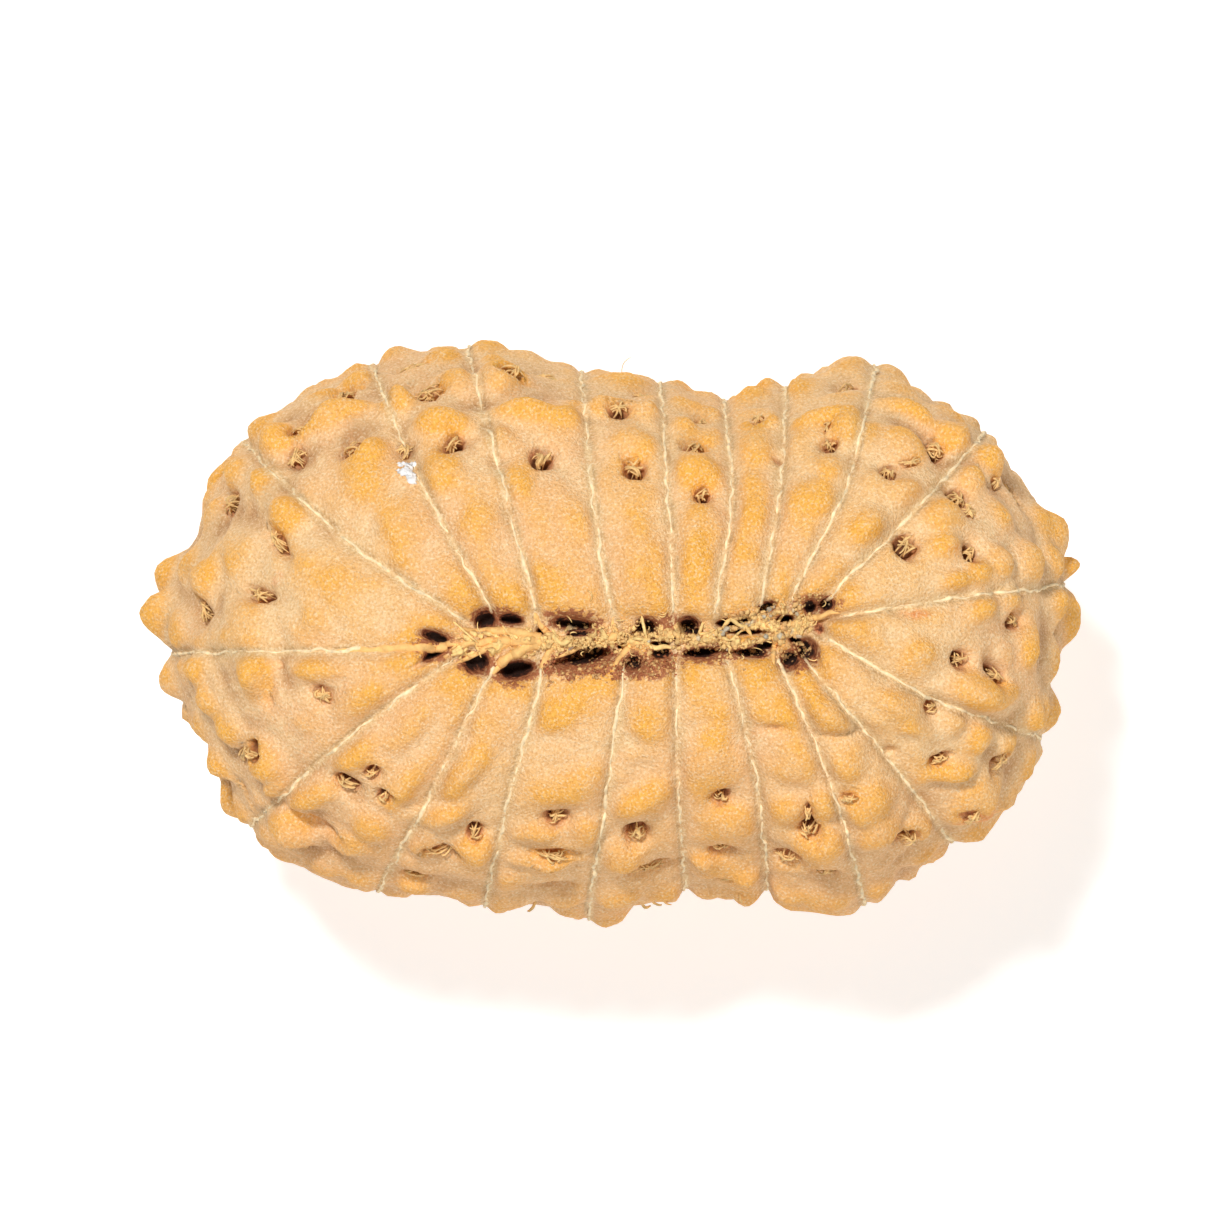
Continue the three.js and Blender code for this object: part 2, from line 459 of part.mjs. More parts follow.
function knobRise(knobs, point) {
  let sum = 0;
  for (const item of knobs) {
    const q2 = reach(item, point);
    if (q2 < 9) sum += (item.size * Math.exp(-(q2 ** KNOB_FLATNESS))) ** KNOB_BLEND;
  }
  return sum ** (1 / KNOB_BLEND);
}

function pitDrop(pits, point) {
  let drop = 0;
  for (const item of pits) {
    const q2 = reach(item, point);
    if (q2 < 30) {
      const bore = Math.exp(-(q2 ** PIT_FLATNESS));
      const funnel = FUNNEL_SHARE * Math.exp(-q2 / FUNNEL_SPREAD ** 2);
      drop = Math.max(drop, item.size * ((1 - FUNNEL_SHARE) * bore + funnel));
    }
  }
  return drop;
}

// The finished surface. What would pass below the resting plane ends flat on it.
function surface(u, angle, { knobs, pits }) {
  const base = skin(u, angle);
  const relief = ribRise(u, angle) + knobRise(knobs, base) - pitDrop(pits, base);
  const point = base.addScaledVector(skinNormal(u, angle), relief);
  point.z = Math.max(0, point.z);
  return point;
}

// Seam numbers of the mesh columns. The return half mirrors the first half.
function columnPlaces() {
  const firstHalf = [];
  COLUMNS_PER_SEGMENT.forEach((count, segment) => {
    for (let n = 0; n < count; n += 1) {
      const even = n / count;
      const crowded = even - (COLUMN_CROWDING_AT_SEAMS * Math.sin(2 * Math.PI * even)) / (2 * Math.PI);
      firstHalf.push(segment + crowded);
    }
  });
  const half = SEAM_COUNT / 2;
  const secondHalf = [half, ...firstHalf.slice(1).reverse().map((u) => SEAM_COUNT - u)];
  return [...firstHalf, ...secondHalf];
}

function rowAngles() {
  return Array.from({ length: ROWS + 1 }, (_, row) => {
    const even = row / ROWS;
    return Math.PI * even - (ROW_CROWDING_AT_SLITS * Math.sin(2 * Math.PI * even)) / 2;
  });
}

function nearest(values, wanted) {
  let best = 0;
  values.forEach((value, n) => {
    if (Math.abs(value - wanted) < Math.abs(values[best] - wanted)) best = n;
  });
  return best;
}

function moved(values, n, wanted) {
  const down = (values[n] - values[n - 1]) * SNAP_LIMIT;
  const up = (values[n + 1] - values[n]) * SNAP_LIMIT;
  return clamp(wanted, values[n] - down, values[n] + up);
}

// Mesh points that move to the middle of a knob or pit, so that it keeps its full size
function snappedPlaces(columns, rows, { knobs, pits }) {
  const places = new Map();
  const extended = [...columns, SEAM_COUNT];
  for (const item of [...knobs, ...pits]) {
    const column = nearest(columns, item.u);
    const row = nearest(rows, item.angle);
    const key = `${row} ${column}`;
    const onSeam = Number.isInteger(columns[column]);
    if (!onSeam && row > 0 && row < ROWS && !places.has(key)) {
      places.set(key, [moved(extended, column, item.u), moved(rows, row, item.angle)]);
    }
  }
  return places;
}

function stoneGeometry() {
  const spots = collectSpots();
  const columns = columnPlaces();
  const rows = rowAngles();
  const places = snappedPlaces(columns, rows, spots);
  const count = columns.length;
  const onSlit = count / 2 + 1;
  const points = [];
  for (let c = 0; c < onSlit; c += 1) points.push(surface(columns[c], 0, spots));
  for (let r = 1; r < ROWS; r += 1) {
    for (let c = 0; c < count; c += 1) {
      const [u, angle] = places.get(`${r} ${c}`) ?? [columns[c], rows[r]];
      points.push(surface(u, angle, spots));
    }
  }
  for (let c = 0; c < onSlit; c += 1) points.push(surface(columns[c], Math.PI, spots));

  // A slit row is one line of points, which the columns on both of its sides share
  const pointNumber = (r, c) => {
    const column = c % count;
    if (r === 0) return Math.min(column, count - column);
    if (r === ROWS) return points.length - onSlit + Math.min(column, count - column);
    return onSlit + (r - 1) * count + column;
  };

  const faces = [];
  for (let r = 0; r < ROWS; r += 1) {
    for (let c = 0; c < count; c += 1) {
      const [a, b] = [pointNumber(r, c), pointNumber(r, c + 1)];
      const [d, e] = [pointNumber(r + 1, c), pointNumber(r + 1, c + 1)];
      const firstDiagonal = points[a].distanceTo(points[e]);
      const secondDiagonal = points[b].distanceTo(points[d]);
      if (firstDiagonal < secondDiagonal) faces.push(a, b, e, a, e, d);
      else faces.push(a, b, d, b, e, d);
    }
  }

  const geometry = new THREE.BufferGeometry();
  const coordinates = points.flatMap((point) => [point.x, point.y, point.z]);
  geometry.setAttribute('position', new THREE.Float32BufferAttribute(coordinates, 3));
  geometry.setIndex(faces);
  geometry.computeVertexNormals();
  return geometry;
}

const stoneMaterial = new THREE.MeshStandardMaterial({ color: 0xe9b873, roughness: 0.85, metalness: 0 });

const stone = new THREE.Mesh(stoneGeometry(), stoneMaterial);
stone.name = 'rudraksha';

const group = new THREE.Group();
group.add(stone);

export default group;
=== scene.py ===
import itertools
import math

import bpy
import numpy as np
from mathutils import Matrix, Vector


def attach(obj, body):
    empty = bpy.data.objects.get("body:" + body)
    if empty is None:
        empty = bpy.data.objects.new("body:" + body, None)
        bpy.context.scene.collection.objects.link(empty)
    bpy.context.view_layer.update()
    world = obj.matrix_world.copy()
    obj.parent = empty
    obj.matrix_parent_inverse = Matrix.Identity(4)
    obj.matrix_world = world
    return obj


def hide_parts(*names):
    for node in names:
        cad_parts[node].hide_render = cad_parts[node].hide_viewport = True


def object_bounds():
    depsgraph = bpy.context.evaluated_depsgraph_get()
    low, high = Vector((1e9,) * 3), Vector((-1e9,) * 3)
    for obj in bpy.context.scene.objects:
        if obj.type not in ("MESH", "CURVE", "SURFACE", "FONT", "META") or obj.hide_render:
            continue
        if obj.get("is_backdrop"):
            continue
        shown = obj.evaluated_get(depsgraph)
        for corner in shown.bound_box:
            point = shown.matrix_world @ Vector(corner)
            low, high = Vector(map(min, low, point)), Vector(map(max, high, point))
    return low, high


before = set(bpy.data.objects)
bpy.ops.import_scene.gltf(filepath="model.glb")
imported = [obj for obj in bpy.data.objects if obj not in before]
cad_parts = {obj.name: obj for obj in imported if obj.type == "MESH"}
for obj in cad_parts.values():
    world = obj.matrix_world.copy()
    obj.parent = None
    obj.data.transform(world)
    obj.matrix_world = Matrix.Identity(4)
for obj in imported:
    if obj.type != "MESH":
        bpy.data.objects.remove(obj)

CAD_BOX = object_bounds()

# Everything is worked out in millimetres and turned into metres when a mesh is made
MM = 0.001
NODE = "rudraksha"

# Overall form, the same as the solid's
HALF_HEIGHT = 10.25
DOME_POWER = 2.4
WIDEST_Z = 10.28
SHOULDER_RISE = 0.2
SHOULDER_WIDTH = 0.35
BACK_RISE_ON_FACE = 0.22
BACKS_AT_RIM = np.array([
    -0.05, -0.15, -0.05, -0.1, -0.2, -0.1, -0.1, 0.0, -0.5, -0.2,
    -0.5, 0.2, -0.5, 0.25, 0.2, -0.1, -0.4, -0.7, -0.1, -0.5,
])
BACK_CHANGES_NEAR_RIM = 6
BACK_STARTS_AT = 0.12
SLIT_HOLLOW_DEPTH = 0.5
SLIT_HOLLOW_REACH = 0.1

# Shape of a knob and of a pit
KNOB_FLATNESS = 1.2
KNOB_BLEND = 3
PIT_FLATNESS = 2
FUNNEL_SHARE = 0.22
FUNNEL_SPREAD = 2.2

# Knobs and pits of the flank and the underside, which follow a rule
RELIEF_SPACING = 1.9
RULE_FIRST_ANGLE = math.radians(74)
RULE_LAST_ANGLE = math.radians(160)
RULE_RING_STEP = math.radians(10.3)
RULE_FADES_FROM = math.radians(112)
RULE_FADED_RISE = 0.4
RULE_KNOB_GAP = 1.35
RULE_PIT_GAP = 1.25
RULE_PIT_SHARE = 0.55
RULE_SWAY = 0.3
RULE_ANGLE_SCATTER = 0.06
RULE_PIT_PLACE = 1.05
RULE_PIT_LIMITS = (0.12, 0.88)
# Each is the least value, and how much more a draw can add
RULE_KNOB_RADIUS = (0.68, 0.32)
RULE_KNOB_RISE = (0.55, 0.45)
RULE_PIT_RADIUS = (0.34, 0.2)
RULE_PIT_DEPTH = (0.5, 0.45)
RULE_PIT_BELOW_RING = (0.3, 0.4)
LEAST_WIDTH_KEPT_CLEAR = 0.75
RULE_RISE_AT_RIM = 0.25
RIM_BAND = 0.6
RANDOM_SEED = 2026

# Knobs that the tables place: how far down the rim they scatter, and how they rise
RIM_TIP_SCATTER = math.radians(14)
LEAST_RIM_RISE = 0.1
FACE_KNOB_GAIN = 1.2

# Fineness of the finished mesh: columns per segment from seam 0 to seam 10, then mirrored
COLUMNS_PER_SEGMENT = [46, 34, 24, 25, 22, 18, 21, 22, 31, 37]
COLUMN_CROWDING_AT_SEAMS = 0.6
ROWS_ABOVE = 104
ROWS_BELOW = 72
ROW_CROWDING = 0.3

# Seams in plan, as x and y at four stations from the slit to the rim
# Seams 0 to 10 go from the left end round by +Y to the right end, 11 to 19 return by -Y
SEAM_STATIONS = np.array([0, 0.13, 0.55, 1])
SEAMS = np.array([
    [[-6.2, -0.5], [-7.7, -0.58], [-12.6, -0.72], [-17.6, -0.8]],
    [[-4.8, -0.35], [-6.2, 0.75], [-10.3, 3.5], [-14.7, 7.6]],
    [[-3.95, -0.3], [-4.85, 1.15], [-7.3, 5.5], [-9.6, 10.6]],
    [[-2.75, -0.35], [-3.05, 1.3], [-4.35, 6.1], [-5.8, 11.2]],
    [[0.45, -0.2], [-0.05, 1.25], [-0.75, 5.7], [-1.2, 10.5]],
    [[2.4, -0.2], [2.5, 1.15], [2.25, 5.5], [2.0, 10.1]],
    [[4.3, -0.2], [4.2, 1.1], [4.8, 5.2], [4.55, 9.35]],
    [[6.0, 0.05], [5.95, 1.3], [6.7, 5.4], [7.1, 9.8]],
    [[7.0, 0.2], [7.25, 1.6], [9.3, 5.6], [10.6, 10.4]],
    [[7.6, 0.3], [8.6, 1.45], [11.7, 4.45], [15.0, 8.0]],
    [[8.2, 0.5], [9.5, 0.75], [13.7, 1.4], [18.05, 1.9]],
    [[7.6, 0.3], [8.9, -0.4], [12.8, -2.6], [17.3, -4.2]],
    [[7.0, 0.2], [7.9, -1.3], [10.6, -4.45], [13.7, -8.4]],
    [[6.0, 0.05], [6.75, -1.35], [8.7, -5.8], [10.2, -10.8]],
    [[4.3, -0.2], [4.7, -1.4], [5.75, -5.6], [6.3, -10.2]],
    [[2.4, -0.2], [2.6, -1.5], [2.65, -5.6], [3.0, -10.2]],
    [[0.45, -0.2], [0.5, -1.6], [-0.15, -6.1], [-0.9, -11.1]],
    [[-2.75, -0.35], [-2.75, -1.7], [-3.95, -6.1], [-5.1, -11.0]],
    [[-3.95, -0.3], [-4.8, -1.6], [-6.95, -5.9], [-9.35, -10.3]],
    [[-4.8, -0.35], [-6.3, -1.1], [-10.6, -4.25], [-14.4, -7.65]],
])

# Knobs of the upper face, from segment 0 to segment 19
# Each row is x, y, radius, rise or x, y, half length, half width, turn in degrees, rise
FACE_KNOBS = [
    [-14.3, 6.4, 0.8, 0.7], [-13.4, 5.0, 0.9, 0.8], [-16.9, 2.3, 0.9, 0.7], [-15.2, 0.2, 1.3, 0.4],
    [-12.0, 2.6, 1.9, 1.2, -30, 0.35], [-12.0, 0.5, 0.8, 0.25], [-15.2, 3.0, 0.9, 0.4],
    [-13.9, 8.3, 0.9, 0.8], [-11.3, 9.2, 1.5, 0.7, 25, 0.7], [-9.8, 7.7, 0.7, 0.6],
    [-9.9, 6.1, 1.1, 0.35], [-8.6, 4.2, 1.0, 0.6, -50, 0.22],
    [-8.7, 9.8, 0.8, 0.7], [-6.8, 8.9, 1.1, 0.55, -8, 0.65], [-6.3, 10.7, 0.9, 0.6],
    [-6.9, 6.6, 0.8, 0.4], [-5.3, 4.6, 0.6, 0.9, 20, 0.3],
    [-4.4, 10.9, 1.1, 0.9], [-3.2, 9.3, 1.9, 0.45, 0, 0.65], [-3.9, 6.2, 0.8, 0.35],
    [-4.6, 7.9, 0.6, 0.4], [-1.7, 8.8, 0.7, 0.35],
    [0.0, 9.6, 1.3, 0.5, 0, 0.65], [0.9, 8.0, 1.0, 0.6, 0, 0.35], [1.0, 3.5, 2.1, 0.55, 88, 0.22],
    [1.5, 9.3, 0.5, 0.4],
    [3.3, 3.8, 1.4, 0.5, 86, 0.22], [3.6, 6.8, 0.8, 0.4], [3.0, 8.8, 0.5, 0.4],
    [6.0, 8.9, 0.9, 0.4, 0, 0.5], [5.7, 7.5, 0.7, 0.35], [5.7, 5.0, 0.5, 0.2],
    [8.7, 9.2, 1.4, 0.45, 12, 0.6], [9.7, 8.6, 0.8, 0.6], [8.4, 5.7, 0.8, 0.35], [8.8, 6.8, 0.6, 0.4],
    [9.9, 7.7, 0.5, 0.35],
    [12.2, 9.3, 1.4, 0.5, -25, 0.7], [12.0, 7.7, 0.9, 0.4], [10.5, 6.1, 0.8, 0.35],
    [11.7, 5.9, 0.9, 0.5, 20, 0.45], [10.3, 4.5, 1.0, 0.6, 55, 0.3], [14.0, 8.4, 0.9, 0.7],
    [15.5, 7.3, 0.9, 0.7], [13.5, 4.9, 0.8, 0.55], [13.6, 3.7, 0.7, 0.45], [14.7, 6.5, 0.7, 0.5],
    [15.0, 2.6, 0.6, 0.5], [15.9, 2.9, 0.7, 0.55], [17.2, 3.2, 0.9, 0.6], [17.9, 4.6, 1.0, 0.7],
    [14.1, 2.2, 0.7, 0.4, 10, 0.35], [15.9, 4.9, 0.9, 0.4],
    [15.1, 1.1, 0.7, 0.4], [16.3, 1.5, 0.6, 0.5], [18.4, 1.3, 0.8, 0.5], [17.0, -0.6, 0.9, 0.45],
    [15.6, -2.6, 1.8, 0.7, -12, 0.8], [12.3, -0.9, 0.8, 0.3], [16.0, -1.0, 0.6, 0.3],
    [11.8, -3.0, 1.0, 0.6, -25, 0.4], [13.9, -3.7, 0.6, 0.45], [17.3, -3.6, 0.7, 0.5],
    [12.3, -4.0, 0.8, 0.4, -25, 0.35], [15.0, -4.3, 0.7, 0.45], [16.4, -4.9, 0.7, 0.6],
    [14.0, -5.8, 1.1, 0.5, -15, 0.5], [15.0, -7.3, 1.3, 0.9],
    [8.8, -3.2, 1.0, 0.65, -35, 0.45], [9.5, -5.5, 0.7, 0.35], [10.4, -7.2, 1.0, 0.6],
    [10.9, -8.4, 0.9, 0.7], [12.6, -8.3, 0.8, 0.6],
    [7.3, -5.5, 0.9, 0.35], [8.7, -7.0, 0.8, 0.55], [7.0, -7.3, 0.7, 0.45], [8.4, -8.9, 1.0, 0.7],
    [7.1, -3.2, 0.5, 0.9, 20, 0.22],
    [5.0, -7.8, 0.8, 0.4], [4.1, -4.9, 2.0, 0.7, 88, 0.25], [5.5, -10.2, 0.6, 0.5],
    [3.7, -9.5, 0.7, 0.4, 0, 0.4],
    [1.6, -3.6, 0.9, 0.25], [1.4, -7.0, 1.3, 0.6, 35, 0.5], [0.6, -9.4, 0.8, 0.45],
    [-1.6, -6.4, 1.3, 0.8, 10, 0.55], [-0.9, -8.2, 0.7, 0.5], [-2.9, -8.3, 0.9, 0.4, 12, 0.5],
    [-2.7, -9.6, 1.2, 0.4, 0, 0.55], [-1.9, -3.2, 0.9, 0.6, 10, 0.22],
    [-5.4, -9.2, 0.8, 0.6], [-6.9, -7.7, 1.0, 0.45, 25, 0.55], [-5.9, -5.8, 1.3, 0.5, 50, 0.4],
    [-7.6, -9.0, 0.6, 0.4],
    [-8.3, -6.3, 1.2, 0.5, 55, 0.4], [-12.2, -6.8, 1.5, 0.5, 35, 0.5], [-10.7, -8.9, 0.8, 0.6],
    [-10.4, -5.1, 1.1, 0.4, 38, 0.35], [-9.8, -8.2, 0.8, 0.55], [-13.3, -8.4, 1.0, 0.7],
    [-8.2, -4.1, 0.9, 0.55, 45, 0.22],
    [-14.7, -1.7, 0.85, 0.85], [-17.0, -1.5, 0.7, 0.5], [-12.1, -1.5, 1.2, 0.45, 0, 0.4],
    [-10.0, -2.7, 1.1, 0.6, 30, 0.3], [-16.5, -2.8, 0.7, 0.5], [-14.3, -5.5, 0.9, 0.8],
    [-13.6, -6.4, 0.9, 0.5, 40, 0.45], [-15.6, -3.9, 0.8, 0.4],
]

# Tips of the knobs that stand out at the rim
# Each row is x, y, radius
RIM_TIPS = [
    [-19.0, 0.9, 1.0], [-18.4, 2.6, 1.0], [-16.45, 6.3, 1.2], [-15.3, 7.6, 0.6], [-14.0, 8.6, 0.8],
    [-13.4, 9.2, 0.7], [-11.6, 10.0, 0.7], [-10.4, 10.9, 0.8], [-8.7, 11.4, 0.8], [-7.1, 11.45, 0.8],
    [-4.9, 11.95, 1.15], [-2.2, 10.9, 1.0], [0.4, 10.4, 0.6], [1.2, 10.4, 0.5], [2.6, 10.2, 0.5],
    [6.3, 10.2, 0.7], [7.6, 10.2, 0.5], [9.7, 11.2, 1.2], [11.5, 10.8, 1.0], [13.2, 9.1, 0.7],
    [14.5, 8.8, 0.5], [15.5, 7.9, 0.5], [16.0, 7.1, 0.9], [18.6, 4.3, 1.1], [17.2, 5.3, 0.8],
    [18.95, 3.0, 0.6], [19.0, 0.5, 1.25], [18.15, -3.3, 0.85], [17.3, -4.8, 0.8], [16.5, -6.6, 0.9],
    [15.3, -8.1, 1.0], [13.1, -9.2, 0.8], [12.0, -9.6, 0.6], [11.2, -10.5, 0.7], [8.9, -11.45, 1.4],
    [5.5, -11.15, 0.7], [0.0, -12.05, 1.0], [-1.4, -11.45, 0.8], [-4.4, -11.45, 0.9], [-6.0, -10.9, 0.7],
    [-8.4, -10.5, 0.6], [-10.4, -10.4, 0.7], [-12.0, -9.5, 0.6], [-13.3, -9.15, 0.9],
    [-15.8, -7.2, 0.8], [-16.3, -5.4, 0.4], [-17.45, -3.4, 0.6], [-18.3, -2.0, 0.9],
]

# Pits of the upper face, from segment 0 to segment 19
# Each row is x, y, radius, depth or x, y, half length, half width, turn in degrees, depth
FACE_PITS = [
    [-15.4, 5.3, 0.5, 0.8], [-13.3, 3.7, 0.75, 0.32, -45, 0.8], [-14.2, 1.6, 0.75, 0.34, -20, 1.0],
    [-16.4, 0.9, 0.62, 0.42, -35, 0.8],
    [-12.4, 8.2, 0.6, 0.42, 60, 0.8], [-10.3, 7.5, 0.6, 0.42, 0, 1.0], [-10.7, 9.6, 0.5, 0.5],
    [-12.7, 7.2, 0.6, 0.4],
    [-7.9, 10.8, 0.75, 0.4, -10, 0.7], [-7.4, 9.8, 0.75, 0.6, 20, 1.0], [-6.3, 7.7, 0.55, 0.3, 55, 1.0],
    [-8.3, 7.3, 0.5, 0.25],
    [-4.0, 9.95, 0.6, 0.3, 0, 0.7], [-2.6, 10.4, 0.6, 0.35, 0, 0.7], [-2.75, 7.2, 0.52, 0.9],
    [0.3, 8.8, 0.5, 0.3, 0, 0.7], [0.95, 6.8, 0.48, 0.9], [1.3, 9.7, 0.45, 0.3, 0, 0.4],
    [3.4, 7.6, 0.5, 0.36, 0, 0.7], [3.7, 8.7, 0.3, 0.6], [3.65, 9.25, 0.25, 0.4], [3.65, 5.7, 0.34, 0.8],
    [5.7, 9.5, 0.42, 0.6], [5.9, 8.4, 0.34, 0.5], [6.6, 7.0, 0.25, 0.3],
    [8.7, 7.6, 0.34, 0.8], [8.6, 8.2, 0.45, 0.2, 85, 0.3], [9.5, 10.2, 0.48, 0.8],
    [11.1, 6.5, 0.36, 0.6], [11.9, 6.8, 0.6, 0.22, 30, 0.3], [13.1, 7.5, 0.5, 0.42, 60, 1.1],
    [11.85, 3.6, 0.52, 1.0], [14.0, 5.5, 0.48, 0.6], [14.3, 4.9, 0.4, 0.3], [14.4, 3.2, 0.36, 0.5, 0, 0.7],
    [15.35, 6.0, 0.3, 0.5], [16.2, 5.7, 0.8, 0.35, -40, 0.6], [17.4, 4.0, 0.45, 0.25, 30, 0.5],
    [16.2, 0.5, 0.4, 0.7], [17.9, 0.5, 0.42, 0.7], [14.0, -1.1, 0.42, 0.8], [15.4, -1.7, 0.6, 0.36, -25, 0.9],
    [12.2, 0.8, 1.1, 0.35, 0, 0.2],
    [12.8, -3.0, 0.3, 0.5], [13.2, -5.1, 0.5, 0.25, 15, 0.6], [15.6, -5.1, 0.65, 0.42, 20, 0.8],
    [11.2, -4.7, 0.22, 0.3], [14.0, -6.8, 0.45, 0.35],
    [9.4, -6.4, 0.4, 0.25, 0, 0.4], [11.8, -8.1, 0.45, 1.0], [9.0, -4.1, 0.9, 0.16, 0, 0.3],
    [7.9, -7.8, 0.42, 1.0], [7.85, -7.1, 0.45, 0.2, 90, 0.5], [8.5, -9.9, 0.5, 0.34, 0, 0.8],
    [7.0, -9.2, 0.6, 0.5], [6.5, -3.8, 0.6, 0.16, 0, 0.25],
    [4.35, -6.7, 0.36, 0.8], [4.4, -8.9, 0.5, 0.32, 0, 0.8], [4.8, -10.0, 0.75, 0.35, 0, 0.7],
    [1.1, -8.2, 0.48, 0.9], [1.6, -9.6, 0.85, 0.4, 10, 0.8],
    [-2.2, -7.5, 0.5, 0.36, 0, 1.0], [-2.3, -8.9, 0.8, 0.28, 0, 0.7], [-2.4, -10.2, 0.9, 0.26, 0, 0.6],
    [-7.9, -9.8, 0.55, 0.36, 0, 0.8], [-6.9, -8.8, 0.8, 0.4, 10, 0.8], [-5.45, -8.05, 0.36, 0.8],
    [-10.6, -6.1, 0.5, 0.36, -20, 0.9], [-9.55, -5.6, 0.34, 0.6], [-9.05, -6.5, 0.3, 0.7],
    [-11.9, -7.7, 1.0, 0.34, -10, 0.9], [-12.4, -8.3, 0.4, 0.3, 0, 0.5],
    [-11.6, -2.5, 0.6, 0.36, -40, 0.4], [-14.1, -4.6, 0.42, 0.9], [-14.8, -4.9, 0.6, 0.3, 40, 0.4],
    [-14.7, -6.5, 0.6, 0.18, 80, 0.5], [-13.7, -2.2, 0.9, 0.3, 65, 0.4],
]

# Holes beside the slit of the upper face, in the same form as the pits
SLIT_HOLES = [
    [-7.0, -0.1, 0.6, 0.2, -18, 0.8], [-7.0, -0.85, 0.6, 0.2, 30, 0.8], [-5.0, 0.6, 0.42, 1.1],
    [-4.0, 0.6, 0.5, 0.22, -5, 0.9], [-1.5, 0.4, 0.85, 0.26, -8, 1.1], [1.4, 0.25, 0.42, 1.1],
    [3.1, 0.3, 0.4, 1.1], [5.2, 0.5, 0.4, 0.2, 20, 0.6], [6.2, 1.1, 0.36, 0.22, 10, 0.7],
    [7.9, 1.1, 0.28, 0.8], [8.6, 1.2, 0.28, 0.8], [8.3, 0.2, 0.32, 0.3],
    [7.1, -1.1, 0.38, 1.0], [7.8, -0.7, 0.44, 1.0], [5.6, -0.8, 0.7, 0.2, 0, 0.9],
    [3.6, -0.8, 0.75, 0.22, 5, 1.0], [2.0, -0.8, 0.4, 0.24, 0, 0.7], [0.9, -1.2, 0.34, 0.8],
    [-1.0, -0.9, 1.1, 0.4, 15, 1.2], [-3.8, -1.5, 0.75, 0.38, 5, 1.2], [-5.4, -1.2, 0.55, 0.42, 0, 1.1],
]

# Reddish brown granular places beside the slit
# Each row is x, y, half length, half width, turn in degrees, strength
SCORCHED = [
    [-1.4, -1.25, 1.3, 0.5, 8, 1], [0.9, -1.3, 1.5, 0.5, 0, 1], [-3.8, -1.6, 0.9, 0.5, 5, 1],
    [-5.3, -1.2, 0.7, 0.5, 0, 1], [-7.0, -0.5, 0.75, 0.55, 0, 1], [7.5, -0.95, 0.75, 0.55, 20, 1],
    [8.2, 1.1, 0.9, 0.4, 0, 1], [4.0, -0.85, 1.2, 0.32, 0, 1], [-1.5, 0.5, 1.1, 0.42, -6, 1],
    [2.3, 0.3, 1.2, 0.4, 0, 1], [-4.6, 0.6, 0.9, 0.4, 0, 1],
]

# Dark gaps in the slit's ridge, sunk and painted black as shadow
# Each row is x, y, half length, half width
RIDGE_GAPS = [
    [5.4, -0.02, 0.75, 0.18], [4.6, 0.42, 0.4, 0.16], [6.1, -0.5, 0.45, 0.16], [-1.3, 0.0, 0.5, 0.13],
    [1.9, -0.42, 0.35, 0.13], [3.3, 0.08, 0.35, 0.12], [-2.7, 0.1, 0.25, 0.13], [6.9, 0.6, 0.35, 0.15],
    [0.5, -0.5, 0.3, 0.12], [7.3, -0.25, 0.25, 0.12],
]
GAP_DEPTH = 0.7

# Reddish places on the shell, in the same form as the granular ones
BLUSHES = [
    [14.2, -6.9, 0.9, 0.5, 30, 1], [15.1, -7.1, 0.5, 0.4, 0, 0.8], [12.2, 0.8, 0.75, 0.25, 0, 0.8],
    [13.4, 3.3, 0.6, 0.4, 30, 0.5], [-15.3, 5.1, 0.5, 0.3, 0, 0.5], [-13.2, 2.2, 0.6, 0.3, 0, 0.6],
]

# Holes beside the slit underneath: one at the tip of each segment
UNDER_HOLE = {"fraction": 0.085, "radius": 0.36, "depth": 0.8}

SEAM_COUNT = len(SEAMS)
QUARTER_TURN = math.pi / 2


def random_source(seed):
    """The same series of numbers as the solid's own rule draws."""
    state = [seed]

    def draw():
        state[0] = (state[0] * 16807) % 2147483647
        return state[0] / 2147483647

    return draw


def arrays(*values):
    return [np.atleast_1d(value).astype(float) for value in values]


def unit(vectors):
    return vectors / np.maximum(1e-12, np.linalg.norm(vectors, axis=1))[:, None]


def on_plan(x, y, z=0.0):
    return np.column_stack([x, y, np.full(len(x), float(z))])


def plan_fraction(angle):
    """How far out a point lies, from 0 on a slit to 1 at the rim."""
    return np.sin(np.clip(angle, 0, math.pi))


STATION_BEFORE = [0, 0, 1, 2]
STATION_AFTER = [1, 2, 3, 3]
SEAM_SLOPES = SEAMS[:, STATION_AFTER] - SEAMS[:, STATION_BEFORE]
SEAM_SLOPES /= (SEAM_STATIONS[STATION_AFTER] - SEAM_STATIONS[STATION_BEFORE])[:, None]


def along_seam(seam, t):
    """A smooth curve through a seam's four points, whose stations are unevenly spaced."""
    s = (t > SEAM_STATIONS[1]).astype(int) + (t > SEAM_STATIONS[2])
    span = SEAM_STATIONS[s + 1] - SEAM_STATIONS[s]
    f = ((t - SEAM_STATIONS[s]) / span)[:, None]
    span = span[:, None]
    f2 = f * f
    f3 = f2 * f
    return (
        SEAMS[seam, s] * (2 * f3 - 3 * f2 + 1)
        + SEAM_SLOPES[seam, s] * span * (f3 - 2 * f2 + f)
        + SEAMS[seam, s + 1] * (3 * f2 - 2 * f3)
        + SEAM_SLOPES[seam, s + 1] * span * (f3 - f2)
    )


def plan(u, t):
    """The plan place at u seams round the stone and at plan fraction t from slit to rim."""
    whole = np.floor(u)
    w = u - whole
    weights = [
        -0.5 * w + w * w - 0.5 * w ** 3,
        1 - 2.5 * w * w + 1.5 * w ** 3,
        0.5 * w + 2 * w * w - 1.5 * w ** 3,
        -0.5 * w * w + 0.5 * w ** 3,
    ]
    place = 0
    for step, weight in zip((-1, 0, 1, 2), weights):
        seam = (whole.astype(int) + step) % SEAM_COUNT
        place = place + weight[:, None] * along_seam(seam, t)
    return place


